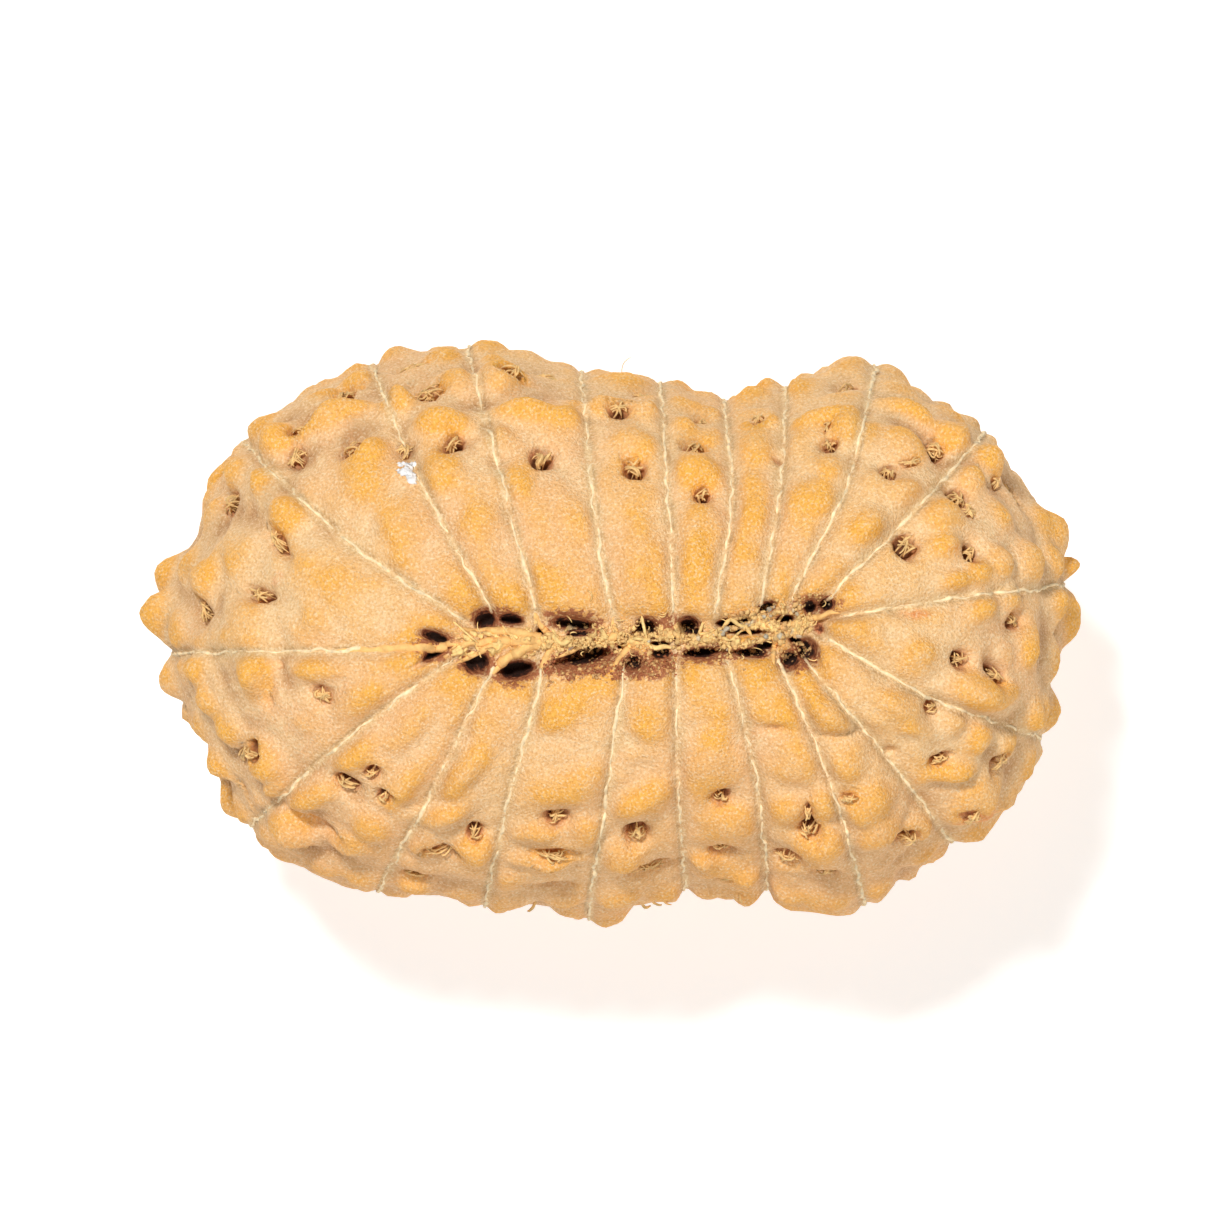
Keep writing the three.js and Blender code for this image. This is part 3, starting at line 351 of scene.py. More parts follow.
def skin(u, angle):
    """The smooth skin without relief: angle 0 is the upper slit, a quarter turn the rim."""
    u, angle = arrays(u, angle)
    t = plan_fraction(angle)
    side = np.where(angle > QUARTER_TURN, -1, 1)
    z = WIDEST_Z + side * HALF_HEIGHT * np.sqrt(np.maximum(0, 1 - np.abs(t) ** DOME_POWER))
    return np.column_stack([plan(u, t), z])


def skin_normal(u, angle):
    u, angle = arrays(u, angle)
    nudge = 0.004
    round_the_stone = skin(u + nudge, angle) - skin(u - nudge, angle)
    down = skin(u, angle + nudge) - skin(u, angle - nudge)
    normal = unit(np.cross(round_the_stone, down))
    normal[angle < nudge] = (0, 0, 1)
    normal[angle > math.pi - nudge] = (0, 0, -1)
    return normal


def segment_width(u, t):
    seam = np.floor(u)
    return np.linalg.norm(plan(seam + 1, t) - plan(seam, t), axis=1)


def seam_distance(u, angle):
    t = plan_fraction(angle)
    w = u - np.floor(u)
    from_seam = np.minimum(w, 1 - w)
    return from_seam, from_seam * segment_width(u, t)


def rib_rise(u, angle):
    """Height of the rib over the skin: nothing on the seams, most along the middle."""
    u, angle = arrays(u, angle)
    t = plan_fraction(angle)
    from_seam, distance = seam_distance(u, angle)
    shoulder = SHOULDER_RISE * (1 - np.exp(-((distance / SHOULDER_WIDTH) ** 2)))
    back_at_rim = BACKS_AT_RIM[np.floor(u).astype(int) % SEAM_COUNT]
    near_rim = t ** BACK_CHANGES_NEAR_RIM
    back = BACK_RISE_ON_FACE * (1 - near_rim) + back_at_rim * near_rim
    near_slit = np.clip(t / BACK_STARTS_AT, 0, 1)
    hollow = SLIT_HOLLOW_DEPTH * np.exp(-((t / SLIT_HOLLOW_REACH) ** 2))
    return shoulder + near_slit * back * (1 - (1 - 2 * from_seam) ** 2) - hollow


# How a place on the skin is sought: from the nearest of a grid of guesses, by a few steps
GUESS_SEAM_STEP = 0.25
GUESS_FRACTION_STEP = 0.05
SEEKING_STEPS = 8
FURTHEST_SEAM_STEP = 0.3
FURTHEST_FRACTION_STEP = 0.1
LEAST_FRACTION = 0.02


def locate(x, y):
    """Seam numbers and angles on the upper half whose skin lies at plan places."""
    wanted = np.column_stack([x, y])
    us = np.arange(0, SEAM_COUNT, GUESS_SEAM_STEP)
    ts = np.arange(GUESS_FRACTION_STEP, 1.001, GUESS_FRACTION_STEP)
    grid_u, grid_t = [values.ravel() for values in np.meshgrid(us, ts, indexing="ij")]
    grid = plan(grid_u, grid_t)
    nearest = np.argmin(((wanted[:, None] - grid[None]) ** 2).sum(axis=2), axis=1)
    u, t = grid_u[nearest], grid_t[nearest]
    nudge = 0.001
    for _ in range(SEEKING_STEPS):
        here = plan(u, t)
        by_u = (plan(u + nudge, t) - here) / nudge
        by_t = (here - plan(u, t - nudge)) / nudge
        miss = wanted - here
        area = by_u[:, 0] * by_t[:, 1] - by_u[:, 1] * by_t[:, 0]
        step_u = (miss[:, 0] * by_t[:, 1] - miss[:, 1] * by_t[:, 0]) / area
        step_t = (miss[:, 1] * by_u[:, 0] - miss[:, 0] * by_u[:, 1]) / area
        u = u + np.clip(step_u, -FURTHEST_SEAM_STEP, FURTHEST_SEAM_STEP)
        t = t + np.clip(step_t, -FURTHEST_FRACTION_STEP, FURTHEST_FRACTION_STEP)
        t = np.clip(t, LEAST_FRACTION, 1)
    return u % SEAM_COUNT, np.arcsin(t)


def make_spots(u, angle, long, wide, degrees, size):
    """Raised or sunken spots on the skin, each with its own long direction."""
    turn = np.radians(arrays(degrees)[0])
    normal = skin_normal(u, angle)
    along = on_plan(np.cos(turn), np.sin(turn))
    along = unit(along - normal * (along * normal).sum(axis=1)[:, None])
    columns = dict(zip(("u", "angle", "long", "wide", "size"), arrays(u, angle, long, wide, size)))
    return {"centre": skin(u, angle), "normal": normal, "along": along, **columns}


def round_spots(u, angle, radius, size):
    return make_spots(u, angle, radius, radius, np.zeros(len(u)), size)


def join_spots(*groups):
    return {key: np.concatenate([group[key] for group in groups]) for key in groups[0]}


def spots_from_rows(rows, lift_share=0, gain=1):
    """Spots from table rows. A spot's top, or its mouth, is what lies at the plan place."""
    full = [row if len(row) == 6 else [row[0], row[1], row[2], row[2], 0, row[3]] for row in rows]
    x, y, long, wide, degrees, size = np.array(full, float).T
    size = size * gain
    u, angle = locate(x, y)
    for _ in range(3):
        lift = rib_rise(u, angle) + lift_share * size
        normal = skin_normal(u, angle)
        u, angle = locate(x - normal[:, 0] * lift, y - normal[:, 1] * lift)
    return make_spots(u, angle, long, wide, degrees, size)


def spots_from_rim_tips(draw):
    """Knobs at the rim, as tall as it takes for each tip to reach its plan place."""
    x, y, radius = np.array(RIM_TIPS).T
    us = np.arange(0, SEAM_COUNT, 0.02)
    rim = plan(us, np.ones(len(us)))
    gaps = np.hypot(x[:, None] - rim[None, :, 0], y[:, None] - rim[None, :, 1])
    nearest = np.argmin(gaps, axis=1)
    u, miss = us[nearest], gaps.min(axis=1)
    angle = QUARTER_TURN + (np.array([draw() for _ in RIM_TIPS]) - 0.5) * RIM_TIP_SCATTER
    rise = np.maximum(LEAST_RIM_RISE, miss - rib_rise(u, np.full(len(u), QUARTER_TURN)))
    return round_spots(u, angle, radius, rise)


def clear_of(centre, taken, gap):
    """Whether a place is clear of all those taken, each given by its centre and its width."""
    taken = np.array(taken)
    distances = np.linalg.norm(taken[:, :3] - centre, axis=1)
    return bool(np.all(distances > gap * np.maximum(LEAST_WIDTH_KEPT_CLEAR, taken[:, 3])))


def add_spots_by_rule(knobs, pits, draw):
    """Knobs and pits in staggered rings down the flank, where none is given by place."""
    taken_by_knobs, taken_by_pits = [
        list(np.column_stack([spots["centre"], spots["wide"]])) for spots in (knobs, pits)]
    new_knobs, new_pits = [], []

    def drawn(least, more):
        return least + more * draw()

    ring = 0
    angle = RULE_FIRST_ANGLE
    while angle < RULE_LAST_ANGLE:
        faded = min(1, max(0, (angle - RULE_FADES_FROM) / (RULE_LAST_ANGLE - RULE_FADES_FROM)))
        from_rim = min(1, abs(math.cos(angle)) / RIM_BAND)
        rim_share = RULE_RISE_AT_RIM + (1 - RULE_RISE_AT_RIM) * from_rim
        for segment in range(SEAM_COUNT):
            width = segment_width(np.array([float(segment)]), np.array([math.sin(angle)]))[0]
            # The nearest whole number, where every other ring counts half a knob more
            count = max(1, math.floor(width / RELIEF_SPACING + (ring % 2) * 0.5 - 0.25 + 0.5))
            for place in range(count):
                sway = (draw() - 0.5) * RULE_SWAY
                knob_u = segment + (place + 0.5 + sway) / count
                knob_angle = angle + (draw() - 0.5) * RULE_ANGLE_SCATTER
                radius = drawn(*RULE_KNOB_RADIUS)
                rise = drawn(*RULE_KNOB_RISE) * (1 - (1 - RULE_FADED_RISE) * faded) * rim_share
                pit_place = (place + RULE_PIT_PLACE + sway) / count
                pit_u = segment + min(RULE_PIT_LIMITS[1], max(RULE_PIT_LIMITS[0], pit_place))
                pit_angle = angle + RULE_RING_STEP * drawn(*RULE_PIT_BELOW_RING)
                pit_radius = drawn(*RULE_PIT_RADIUS)
                pit_depth = drawn(*RULE_PIT_DEPTH)
                wants_pit = draw() < RULE_PIT_SHARE
                centre = skin(knob_u, knob_angle)[0]
                free = clear_of(centre, taken_by_knobs, RULE_KNOB_GAP)
                if free and knob_angle < QUARTER_TURN:
                    free = clear_of(centre, taken_by_pits, RULE_PIT_GAP)
                if free:
                    new_knobs.append([knob_u, knob_angle, radius, rise])
                    taken_by_knobs.append([*centre, radius])
                centre = skin(pit_u, pit_angle)[0]
                free = clear_of(centre, taken_by_pits, RULE_PIT_GAP)
                if wants_pit and pit_angle > QUARTER_TURN and free:
                    new_pits.append([pit_u, pit_angle, pit_radius, pit_depth])
                    taken_by_pits.append([*centre, pit_radius])
        ring += 1
        angle += RULE_RING_STEP
    pairs = ((knobs, new_knobs), (pits, new_pits))
    return [join_spots(old, round_spots(*np.array(new).T)) for old, new in pairs]


def holes_underneath():
    u = np.arange(SEAM_COUNT) + 0.5
    angle = np.full(SEAM_COUNT, math.pi - math.asin(UNDER_HOLE["fraction"]))
    radius, depth = [np.full(SEAM_COUNT, UNDER_HOLE[key]) for key in ("radius", "depth")]
    return round_spots(u, angle, radius, depth)


def collect_spots():
    draw = random_source(RANDOM_SEED)
    rim_knobs = spots_from_rim_tips(draw)
    knobs = join_spots(rim_knobs, spots_from_rows(FACE_KNOBS, 1, FACE_KNOB_GAIN))
    pits = join_spots(spots_from_rows(FACE_PITS), spots_from_rows(SLIT_HOLES))
    knobs, pits = add_spots_by_rule(knobs, pits, draw)
    is_hole = np.zeros(len(pits["u"]), bool)
    is_hole[len(FACE_PITS):len(FACE_PITS) + len(SLIT_HOLES)] = True
    holes = {key: values[is_hole] for key, values in pits.items()}
    gaps = spots_from_rows([[*row, 0, GAP_DEPTH] for row in RIDGE_GAPS])
    return {
        "knobs": knobs,
        "pits": {key: values[~is_hole] for key, values in pits.items()},
        "holes": join_spots(holes, holes_underneath(), gaps),
        "scorch": spots_from_rows(SCORCHED),
        "blushes": spots_from_rows(BLUSHES),
    }


# Smooth lumps of a few sizes, as sums of waves that run in seeded directions
LUMP_SEED = 7
WAVES = 28
WAVE_LENGTHS = (0.7, 1.5)
WAVE_PEAK = 1.6


def lumps(points, wavelength, seed):
    """About -1 to 1, smooth, with bumps of about half the wavelength."""
    rng = np.random.default_rng(LUMP_SEED + seed)
    directions = unit(rng.normal(size=(WAVES, 3)))
    lengths = wavelength * rng.uniform(*WAVE_LENGTHS, WAVES)
    phases = rng.uniform(0, 2 * math.pi, WAVES)
    total = np.zeros(len(points))
    for direction, length, phase in zip(directions, lengths, phases):
        total += np.sin(points @ direction * (2 * math.pi / length) + phase)
    return total * math.sqrt(2 / WAVES) / WAVE_PEAK


# Least arc that a radian of the skin's angle covers, for skipping far rows
ARC_PER_RADIAN = 8.0
# How far each spot reaches, in its own half lengths
KNOB_REACH = 2.2
PIT_REACH = 5.5
PIT_SHADE_REACH = 2.0
GLOW_REACH = 2.2
FULL_PIT_SHADE_DEPTH = 0.75
LEAST_PIT_SHADE = 0.25
PIT_SHADE_OF_NARROWEST = 1.9
PIT_SHADE_LOST_PER_MM = 1.7
PIT_SHADE_EDGE = 1.6


def each_spot(spots, base, angle, spread):
    """For each spot, the nearby points and their squared distance in its own half lengths."""
    order = np.argsort(angle, kind="stable")
    sorted_angles = angle[order]
    for n in range(len(spots["u"])):
        window = spread * spots["long"][n] / ARC_PER_RADIAN
        first = np.searchsorted(sorted_angles, spots["angle"][n] - window)
        last = np.searchsorted(sorted_angles, spots["angle"][n] + window)
        near = order[first:last]
        offset = base[near] - spots["centre"][n]
        along = offset @ spots["along"][n]
        across = np.maximum(0, (offset ** 2).sum(axis=1) - along ** 2)
        q2 = (along / spots["long"][n]) ** 2 + across / spots["wide"][n] ** 2
        keep = q2 < spread ** 2
        yield n, near[keep], q2[keep]


def knob_rise(knobs, base, angle):
    total = np.zeros(len(base))
    for n, near, q2 in each_spot(knobs, base, angle, KNOB_REACH):
        total[near] += (knobs["size"][n] * np.exp(-(q2 ** KNOB_FLATNESS))) ** KNOB_BLEND
    return total ** (1 / KNOB_BLEND)


def pit_drop(pits, base, angle, ragged):
    """Depth of the pits, with mouths made ragged by a noise of about -1 to 1."""
    drop = np.zeros(len(base))
    for n, near, q2 in each_spot(pits, base, angle, PIT_REACH):
        bore = np.exp(-((q2 * (1 + ragged[near])) ** PIT_FLATNESS))
        funnel = FUNNEL_SHARE * np.exp(-q2 / FUNNEL_SPREAD ** 2)
        depth = pits["size"][n] * ((1 - FUNNEL_SHARE) * bore + funnel)
        drop[near] = np.maximum(drop[near], depth)
    return drop


def pit_brown_and_shade_level(pits, base, angle):
    """How dark the pits are inside, partly their brown and partly painted shade: the narrow ones most, the
    wide hollows least.
    """
    level = np.zeros(len(base))
    for n, near, q2 in each_spot(pits, base, angle, PIT_SHADE_REACH):
        narrow = PIT_SHADE_OF_NARROWEST - PIT_SHADE_LOST_PER_MM * pits["long"][n]
        narrow = min(1, max(LEAST_PIT_SHADE, narrow))
        depth = min(1, pits["size"][n] / FULL_PIT_SHADE_DEPTH)
        level[near] = np.maximum(level[near], narrow * depth * np.exp(-(q2 ** PIT_SHADE_EDGE)))
    return level


def glow(spots, base, angle, full_size):
    """One at the middle of each spot that has at least the full size, fading out to its edge."""
    level = np.zeros(len(base))
    for n, near, q2 in each_spot(spots, base, angle, GLOW_REACH):
        strength = min(1, spots["size"][n] / full_size)
        level[near] = np.maximum(level[near], strength * np.exp(-q2))
    return level


# Fine relief that only the finished surface has
# Each lump is a height, a wavelength and a seed
BROAD_LUMP = (0.12, 2.5, 2)
SMALL_LUMP = (0.06, 1.1, 3)
GRAIN_LUMP = (0.022, 0.4, 4)
RAGGED_MOUTH = (0.35, 0.7, 1)
SEAM_BAND = 0.3
SMOOTHNESS_OF_SEAMS = 0.85
# A dark line of painted shadow runs beside each seam, on one side of it, as the shade of the seam's groove
SHADOW_LINE_PLACE = 0.13
SHADOW_LINE_WIDTH = 0.06
HOLE_DEEPENING = 1.5
PIT_DEEPENING = 1.25


def lumpy(points, size, wavelength, seed):
    return size * lumps(points, wavelength, seed)


def relief(u, angle, spots):
    """Height over the skin, with the parts of it that the colours follow."""
    base = skin(u, angle)
    ragged = lumpy(base, *RAGGED_MOUTH)
    knob = knob_rise(spots["knobs"], base, angle)
    pit = pit_drop(spots["pits"], base, angle, ragged)
    hole = pit_drop(spots["holes"], base, angle, ragged)
    rib = rib_rise(u, angle)
    _, distance = seam_distance(u, angle)
    seam = np.exp(-((distance / SEAM_BAND) ** 2))
    fine = sum(lumpy(base, *lump) for lump in (BROAD_LUMP, SMALL_LUMP, GRAIN_LUMP))
    deep = np.maximum(pit * PIT_DEEPENING, hole * HOLE_DEEPENING)
    height = rib + knob - deep + fine * (1 - SMOOTHNESS_OF_SEAMS * seam)
    signed = np.where(u - np.floor(u) < 0.5, distance, -distance)
    seam_shadow_line = np.exp(-(((signed - SHADOW_LINE_PLACE) / SHADOW_LINE_WIDTH) ** 2))
    return base, height, {"pit": pit, "seam": seam, "seam_shadow_line": seam_shadow_line}


def raise_points(base, height, u, angle):
    points = base + skin_normal(u, angle) * height[:, None]
    points[:, 2] = np.maximum(0, points[:, 2])
    return points


def crowded(count, crowding):
    """Fractions from 0 up to 1 that crowd together at both ends. The last, 1, is left out."""
    even = np.arange(count) / count
    return even - crowding * np.sin(2 * math.pi * even) / (2 * math.pi)


def column_places():
    """Seam numbers of the mesh columns. The return half mirrors the first half."""
    first_half = []
    for segment, count in enumerate(COLUMNS_PER_SEGMENT):
        first_half.extend(segment + crowded(count, COLUMN_CROWDING_AT_SEAMS))
    second_half = [SEAM_COUNT // 2] + [SEAM_COUNT - u for u in reversed(first_half[1:])]
    return np.array(first_half + second_half)


def row_angles():
    above = crowded(ROWS_ABOVE, ROW_CROWDING) * QUARTER_TURN
    below = QUARTER_TURN * (1 + np.append(crowded(ROWS_BELOW, ROW_CROWDING), 1))
    return np.concatenate([above, below])


def placed(name, data, place=(0, 0, 0)):
    thing = bpy.data.objects.new(name, data)
    thing.location = place
    bpy.context.scene.collection.objects.link(thing)
    return thing


def mesh_object(name, vertices, faces, attributes, material):
    mesh = bpy.data.meshes.new(name)
    mesh.from_pydata((np.asarray(vertices) * MM).tolist(), [], faces)
    for key, values in attributes.items():
        layer = mesh.attributes.new(key, "FLOAT", "POINT")
        layer.data.foreach_set("value", np.asarray(values, np.float32))
    mesh.polygons.foreach_set("use_smooth", np.ones(len(mesh.polygons), bool))
    mesh.materials.append(material)
    mesh.update()
    piece = placed(name, mesh)
    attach(piece, "root")
    return piece


def blurred(grid, span):
    """A grid of heights, averaged over a few rows and columns, round the stone."""
    count = 2 * span + 1
    padded = np.pad(grid, ((span, span), (0, 0)), mode="edge")
    down = sum(padded[step:step + len(grid)] for step in range(count)) / count
    return sum(np.roll(down, step, axis=1) for step in range(-span, span + 1)) / count


CREST_SPAN = 9
# Hole depth at which the painted shade round a hole is full
FULL_HOLE_SHADE_DEPTH = 0.6
# Where the painted shade of the rim's hollows begins as a plan fraction, the painted shade of the front side
# as y, and over how much each grows
RIM_HOLLOW_SHADE = {"from": 0.72, "over": 0.25}
FRONT_SIDE_SHADE = {"from": -4.0, "over": 5.0}


def stone(spots, material):
    columns = column_places()
    rows = row_angles()
    count = len(columns)
    last = len(rows) - 1
    on_slit = count // 2 + 1
    grid_angle, grid_u = [values.ravel() for values in np.meshgrid(rows, columns, indexing="ij")]
    base, height, parts = relief(grid_u, grid_angle, spots)
    points = raise_points(base, height, grid_u, grid_angle)

    bulge = (height + parts["pit"] * PIT_DEEPENING).reshape(len(rows), count)
    crest = (bulge - blurred(bulge, CREST_SPAN)).ravel()
    hole_brown_and_shade = glow(spots["holes"], base, grid_angle, FULL_HOLE_SHADE_DEPTH)
    scorch = glow(spots["scorch"], base, grid_angle, 1.0)
    blush = glow(spots["blushes"], base, grid_angle, 1.0)
    pit_brown_and_shade = pit_brown_and_shade_level(spots["pits"], base, grid_angle)
    attributes = {
        "crest": crest, "hole_brown_and_shade": hole_brown_and_shade, "scorch": scorch, "blush": blush, "pit_brown_and_shade": pit_brown_and_shade,
        "seam": parts["seam"], "seam_shadow_line": parts["seam_shadow_line"],
        # These two grow the painted shade of the rim's hollows and of the front side
        "rim": np.clip((np.sin(grid_angle) - RIM_HOLLOW_SHADE["from"]) / RIM_HOLLOW_SHADE["over"], 0, 1),
        "shaded_front": np.clip((FRONT_SIDE_SHADE["from"] - base[:, 1]) / FRONT_SIDE_SHADE["over"], 0, 1),
    }

    # A slit row is one line of points, which the columns on both of its sides share
    column = np.arange(count)
    shared = np.minimum(column, count - column)
    numbers = np.empty((len(rows), count), int)
    numbers[0] = shared
    numbers[1:last] = on_slit + np.arange((last - 1) * count).reshape(last - 1, count)
    numbers[last] = on_slit + (last - 1) * count + shared
    kept = np.concatenate([
        np.arange(on_slit), np.arange(count, last * count), last * count + np.arange(on_slit)])
    following = np.roll(numbers, -1, axis=1)
    quads = np.stack([numbers[:-1], following[:-1], following[1:], numbers[1:]], axis=2)
    faces = quads.reshape(-1, 4).tolist()
    attributes = {key: values[kept] for key, values in attributes.items()}
    piece = mesh_object("stone", points[kept], faces, attributes, material)
    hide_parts(NODE)
    return piece


def tube(path, radii, sides):
    """Vertices and faces of a closed tube along a path, with a radius at each point."""
    path = np.asarray(path)
    tangent = unit(np.gradient(path, axis=0))
    upright = abs(tangent[:, 2]).mean() > 0.9
    side = unit(np.cross(tangent, (1.0, 0.0, 0.0) if upright else (0.0, 0.0, 1.0)))
    other = np.cross(tangent, side)
    turns = 2 * math.pi * np.arange(sides) / sides
    ring = np.cos(turns)[None, :, None] * side[:, None] + np.sin(turns)[None, :, None] * other[:, None]
    vertices = (path[:, None] + ring * np.asarray(radii)[:, None, None]).reshape(-1, 3)
    faces = []
    for r in range(len(path) - 1):
        for s in range(sides):
            a, b = r * sides + s, r * sides + (s + 1) % sides
            faces.append([a, b, b + sides, a + sides])
    faces.append(list(range(sides - 1, -1, -1)))
    faces.append(list(range((len(path) - 1) * sides, len(path) * sides)))
    return vertices, faces


def joined_object(name, parts, material, attributes=None):
    """One object from many parts, each with its own vertices and faces."""
    vertices, faces, start = [], [], 0
    for part_vertices, part_faces in parts:
        vertices.append(part_vertices)
        faces.extend([[start + n for n in face] for face in part_faces])
        start += len(part_vertices)
    return mesh_object(name, np.concatenate(vertices), faces, attributes or {}, material)


def ball():
    """The corners and faces of a round ball of unit radius, with 80 faces."""
    golden = (1 + math.sqrt(5)) / 2
    corners = []
    for a in (-1, 1):
        for b in (-golden, golden):
            corners.extend([(a, b, 0), (0, a, b), (b, 0, a)])
    corners = [np.array(corner) / math.hypot(1, golden) for corner in corners]
    side = min(np.linalg.norm(corners[0] - other) for other in corners[1:]) * 1.01
    faces = []
    for a, b, c in itertools.combinations(range(len(corners)), 3):
        trio = np.array([corners[a], corners[b], corners[c]])
        if np.linalg.norm(trio - np.roll(trio, 1, axis=0), axis=1).max() < side:
            faces.append((a, b, c) if np.linalg.det(trio) > 0 else (a, c, b))
    middles = {}

    def middle(a, b):
        key = (min(a, b), max(a, b))
        if key not in middles:
            point = corners[a] + corners[b]
            corners.append(point / np.linalg.norm(point))
            middles[key] = len(corners) - 1
        return middles[key]

    finer = []
    for a, b, c in faces:
        ab, bc, ca = middle(a, b), middle(b, c), middle(c, a)
        finer.extend([(a, ab, ca), (ab, b, bc), (ca, bc, c), (ab, bc, ca)])
    return np.array(corners), finer


def surface_places(x, y, spots, underneath=False):
    """Points of the finished surface at plan places, on the upper face or underneath."""
    x, y = np.asarray(x, float), np.asarray(y, float)
    u, angle = locate(x, y)
    if underneath:
        angle = math.pi - angle
    base, height, _ = relief(u, angle, spots)
    return np.column_stack([x, y, base[:, 2] + height / skin_normal(u, angle)[:, 2]])


# Pale threads that lie in the seams
THREAD_STEPS = 330
THREAD_SIDES = 6
THREAD_RADIUS = 0.062
THREAD_THINNEST = 0.02
THREAD_THICKEST = 0.12
THREAD_SINK = 0.01
THREAD_FROM = math.radians(6)
# Each is a size, a wavelength and a seed
THREAD_LIFT = (0.04, 1.1, 14)
THREAD_WANDER = (0.07, 0.9, 11)
THREAD_SHORT_SWELL = (0.45, 0.35, 12)
THREAD_LONG_SWELL = (0.35, 2.5, 13)
THREAD_SWELL_AT_SLIT = 0.2
THREAD_SLIT_REACH = 0.13


def seam_threads(spots, material):
    parts = []
    angle = np.linspace(THREAD_FROM, math.pi - THREAD_FROM, THREAD_STEPS)
    for seam in range(SEAM_COUNT):
        u = np.full(THREAD_STEPS, float(seam))
        base, height, _ = relief(u, angle, spots)
        lift = height + lumpy(base, *THREAD_LIFT) - THREAD_SINK
        path = base + skin_normal(u, angle) * lift[:, None]
        across = unit(skin(u + 0.01, angle) - skin(u - 0.01, angle))
        path += across * lumpy(path, *THREAD_WANDER)[:, None]
        path[:, 2] = np.maximum(THREAD_RADIUS, path[:, 2])
        swell = lumpy(path, *THREAD_SHORT_SWELL) + lumpy(path, *THREAD_LONG_SWELL)
        near_slit = np.exp(-((np.sin(angle) / THREAD_SLIT_REACH) ** 2))
        radii = THREAD_RADIUS * (1 + swell + THREAD_SWELL_AT_SLIT * near_slit)
        radii = np.clip(radii, THREAD_THINNEST, THREAD_THICKEST)
        parts.append(tube(path, radii, THREAD_SIDES))
    return joined_object("seam_threads", parts, material)


# Curly fibres that show in the mouths of the pits
FIBRE_SEED = 31
FIBRE_STEPS = 9
FIBRE_SIDES = 5
FIBRE_RADIUS = 0.046
SMALLEST_FIBROUS_PIT = 0.3
FIBRES_BY_RADIUS = 21
UNDER_FIBRES_SHARE = 0.45
CREASE_RATIO = 2.9
LOWEST_FIBRES = 1.0
FIBRE_UNEVENNESS = 0.12
FIBRE_TAPER = 0.45
FIBRE_THICKNESS = (0.6, 1.25)


def bent(corners, steps):
    """A smooth curve from the first of four points to the last, bent by the other two."""
    f = np.linspace(0, 1, steps)[:, None]
    a, b, c, d = corners
    return a * (1 - f) ** 3 + b * 3 * f * (1 - f) ** 2 + c * 3 * f * f * (1 - f) + d * f ** 3


def fibre(rng, corners, radius, steps):
    path = bent(corners, steps)
    path = path + rng.normal(0, FIBRE_UNEVENNESS * radius, path.shape)
    taper = 1 - FIBRE_TAPER * np.abs(np.linspace(-1, 1, steps)) ** 3
    return tube(path, radius * rng.uniform(*FIBRE_THICKNESS) * taper, FIBRE_SIDES)


def pit_fibres(spots, material):
    rng = np.random.default_rng(FIBRE_SEED)
    pits = spots["pits"]
    parts = []
    _, height, _ = relief(pits["u"], pits["angle"], spots)
    floor = pits["centre"] + pits["normal"] * height[:, None]
    for n in range(len(pits["u"])):
        radius = 0.5 * (pits["long"][n] + pits["wide"][n])
        if radius < SMALLEST_FIBROUS_PIT or floor[n][2] < LOWEST_FIBRES:
            continue
        if pits["long"][n] > CREASE_RATIO * pits["wide"][n]:
            continue
        count = round(FIBRES_BY_RADIUS * radius * rng.uniform(0.6, 1.1))
        if pits["angle"][n] > QUARTER_TURN:
            count = round(count * UNDER_FIBRES_SHARE)
        other = np.cross(pits["normal"][n], pits["along"][n])
        depth = pits["size"][n] * PIT_DEEPENING

        def inside(far, turn, level):
            return (floor[n] + far * math.cos(turn) * pits["long"][n] * pits["along"][n]
                    + far * math.sin(turn) * pits["wide"][n] * other
                    + pits["normal"][n] * depth * level)

        for _ in range(count):
            turn = rng.uniform(0, 2 * math.pi)
            across = turn + math.pi + rng.uniform(-1.6, 1.6)
            corners = [
                inside(rng.uniform(0.7, 0.95), turn, rng.uniform(0.35, 0.8)),
                inside(rng.uniform(0.2, 0.7), turn + rng.uniform(-1, 1), rng.uniform(0.6, 1.15)),
                inside(rng.uniform(0.2, 0.7), across + rng.uniform(-1, 1), rng.uniform(0.3, 1.1)),
                inside(rng.uniform(0.3, 0.9), across, rng.uniform(0.1, 0.7)),
            ]
            parts.append(fibre(rng, corners, FIBRE_RADIUS, FIBRE_STEPS))
    return joined_object("pit_fibres", parts, material)


# Middle of the slit as x and y, from left to right
SPINE = np.array([[-6.4, -0.5], [-4.8, -0.35], [-2.75, -0.3], [0.45, -0.25], [2.4, -0.2],
                  [4.3, -0.1], [6.0, 0.1], [7.0, 0.25], [8.0, 0.4]])


def spine_y(x):
    """Where the middle of the slit lies at x."""
    return np.interp(x, SPINE[:, 0], SPINE[:, 1])


# Groups of crumbs in the slit
# Each row is from x, to x, offset in y, spread, count, greatest size, greatest darkness, share that is grey
SLIT_SEED = 53
CRUMB_GROUPS = [
    [-3.6, 8.0, 0.0, 0.24, 900, 0.11, 0.35, 0.02],
    [-4.2, -2.9, 0.15, 0.2, 80, 0.08, 0.1, 0.8],
    [4.4, 7.6, 0.05, 0.42, 480, 0.13, 0.5, 0.12],
    [-2.8, 2.6, -1.0, 0.3, 420, 0.08, 1.3, 0.0],
    [2.6, 6.6, -0.75, 0.22, 90, 0.08, 1.0, 0.0],
    [-2.4, 2.0, 0.3, 0.2, 80, 0.08, 0.5, 0.0],
    [5.8, 8.8, 1.0, 0.2, 80, 0.08, 0.5, 0.1],
    [6.8, 8.0, -1.1, 0.2, 60, 0.08, 0.8, 0.0],
]
UNDER_CRUMBS = {"from": -6.2, "to": 7.6, "spread": 0.16, "count": 520, "size": 0.13, "lowest": 0.3}

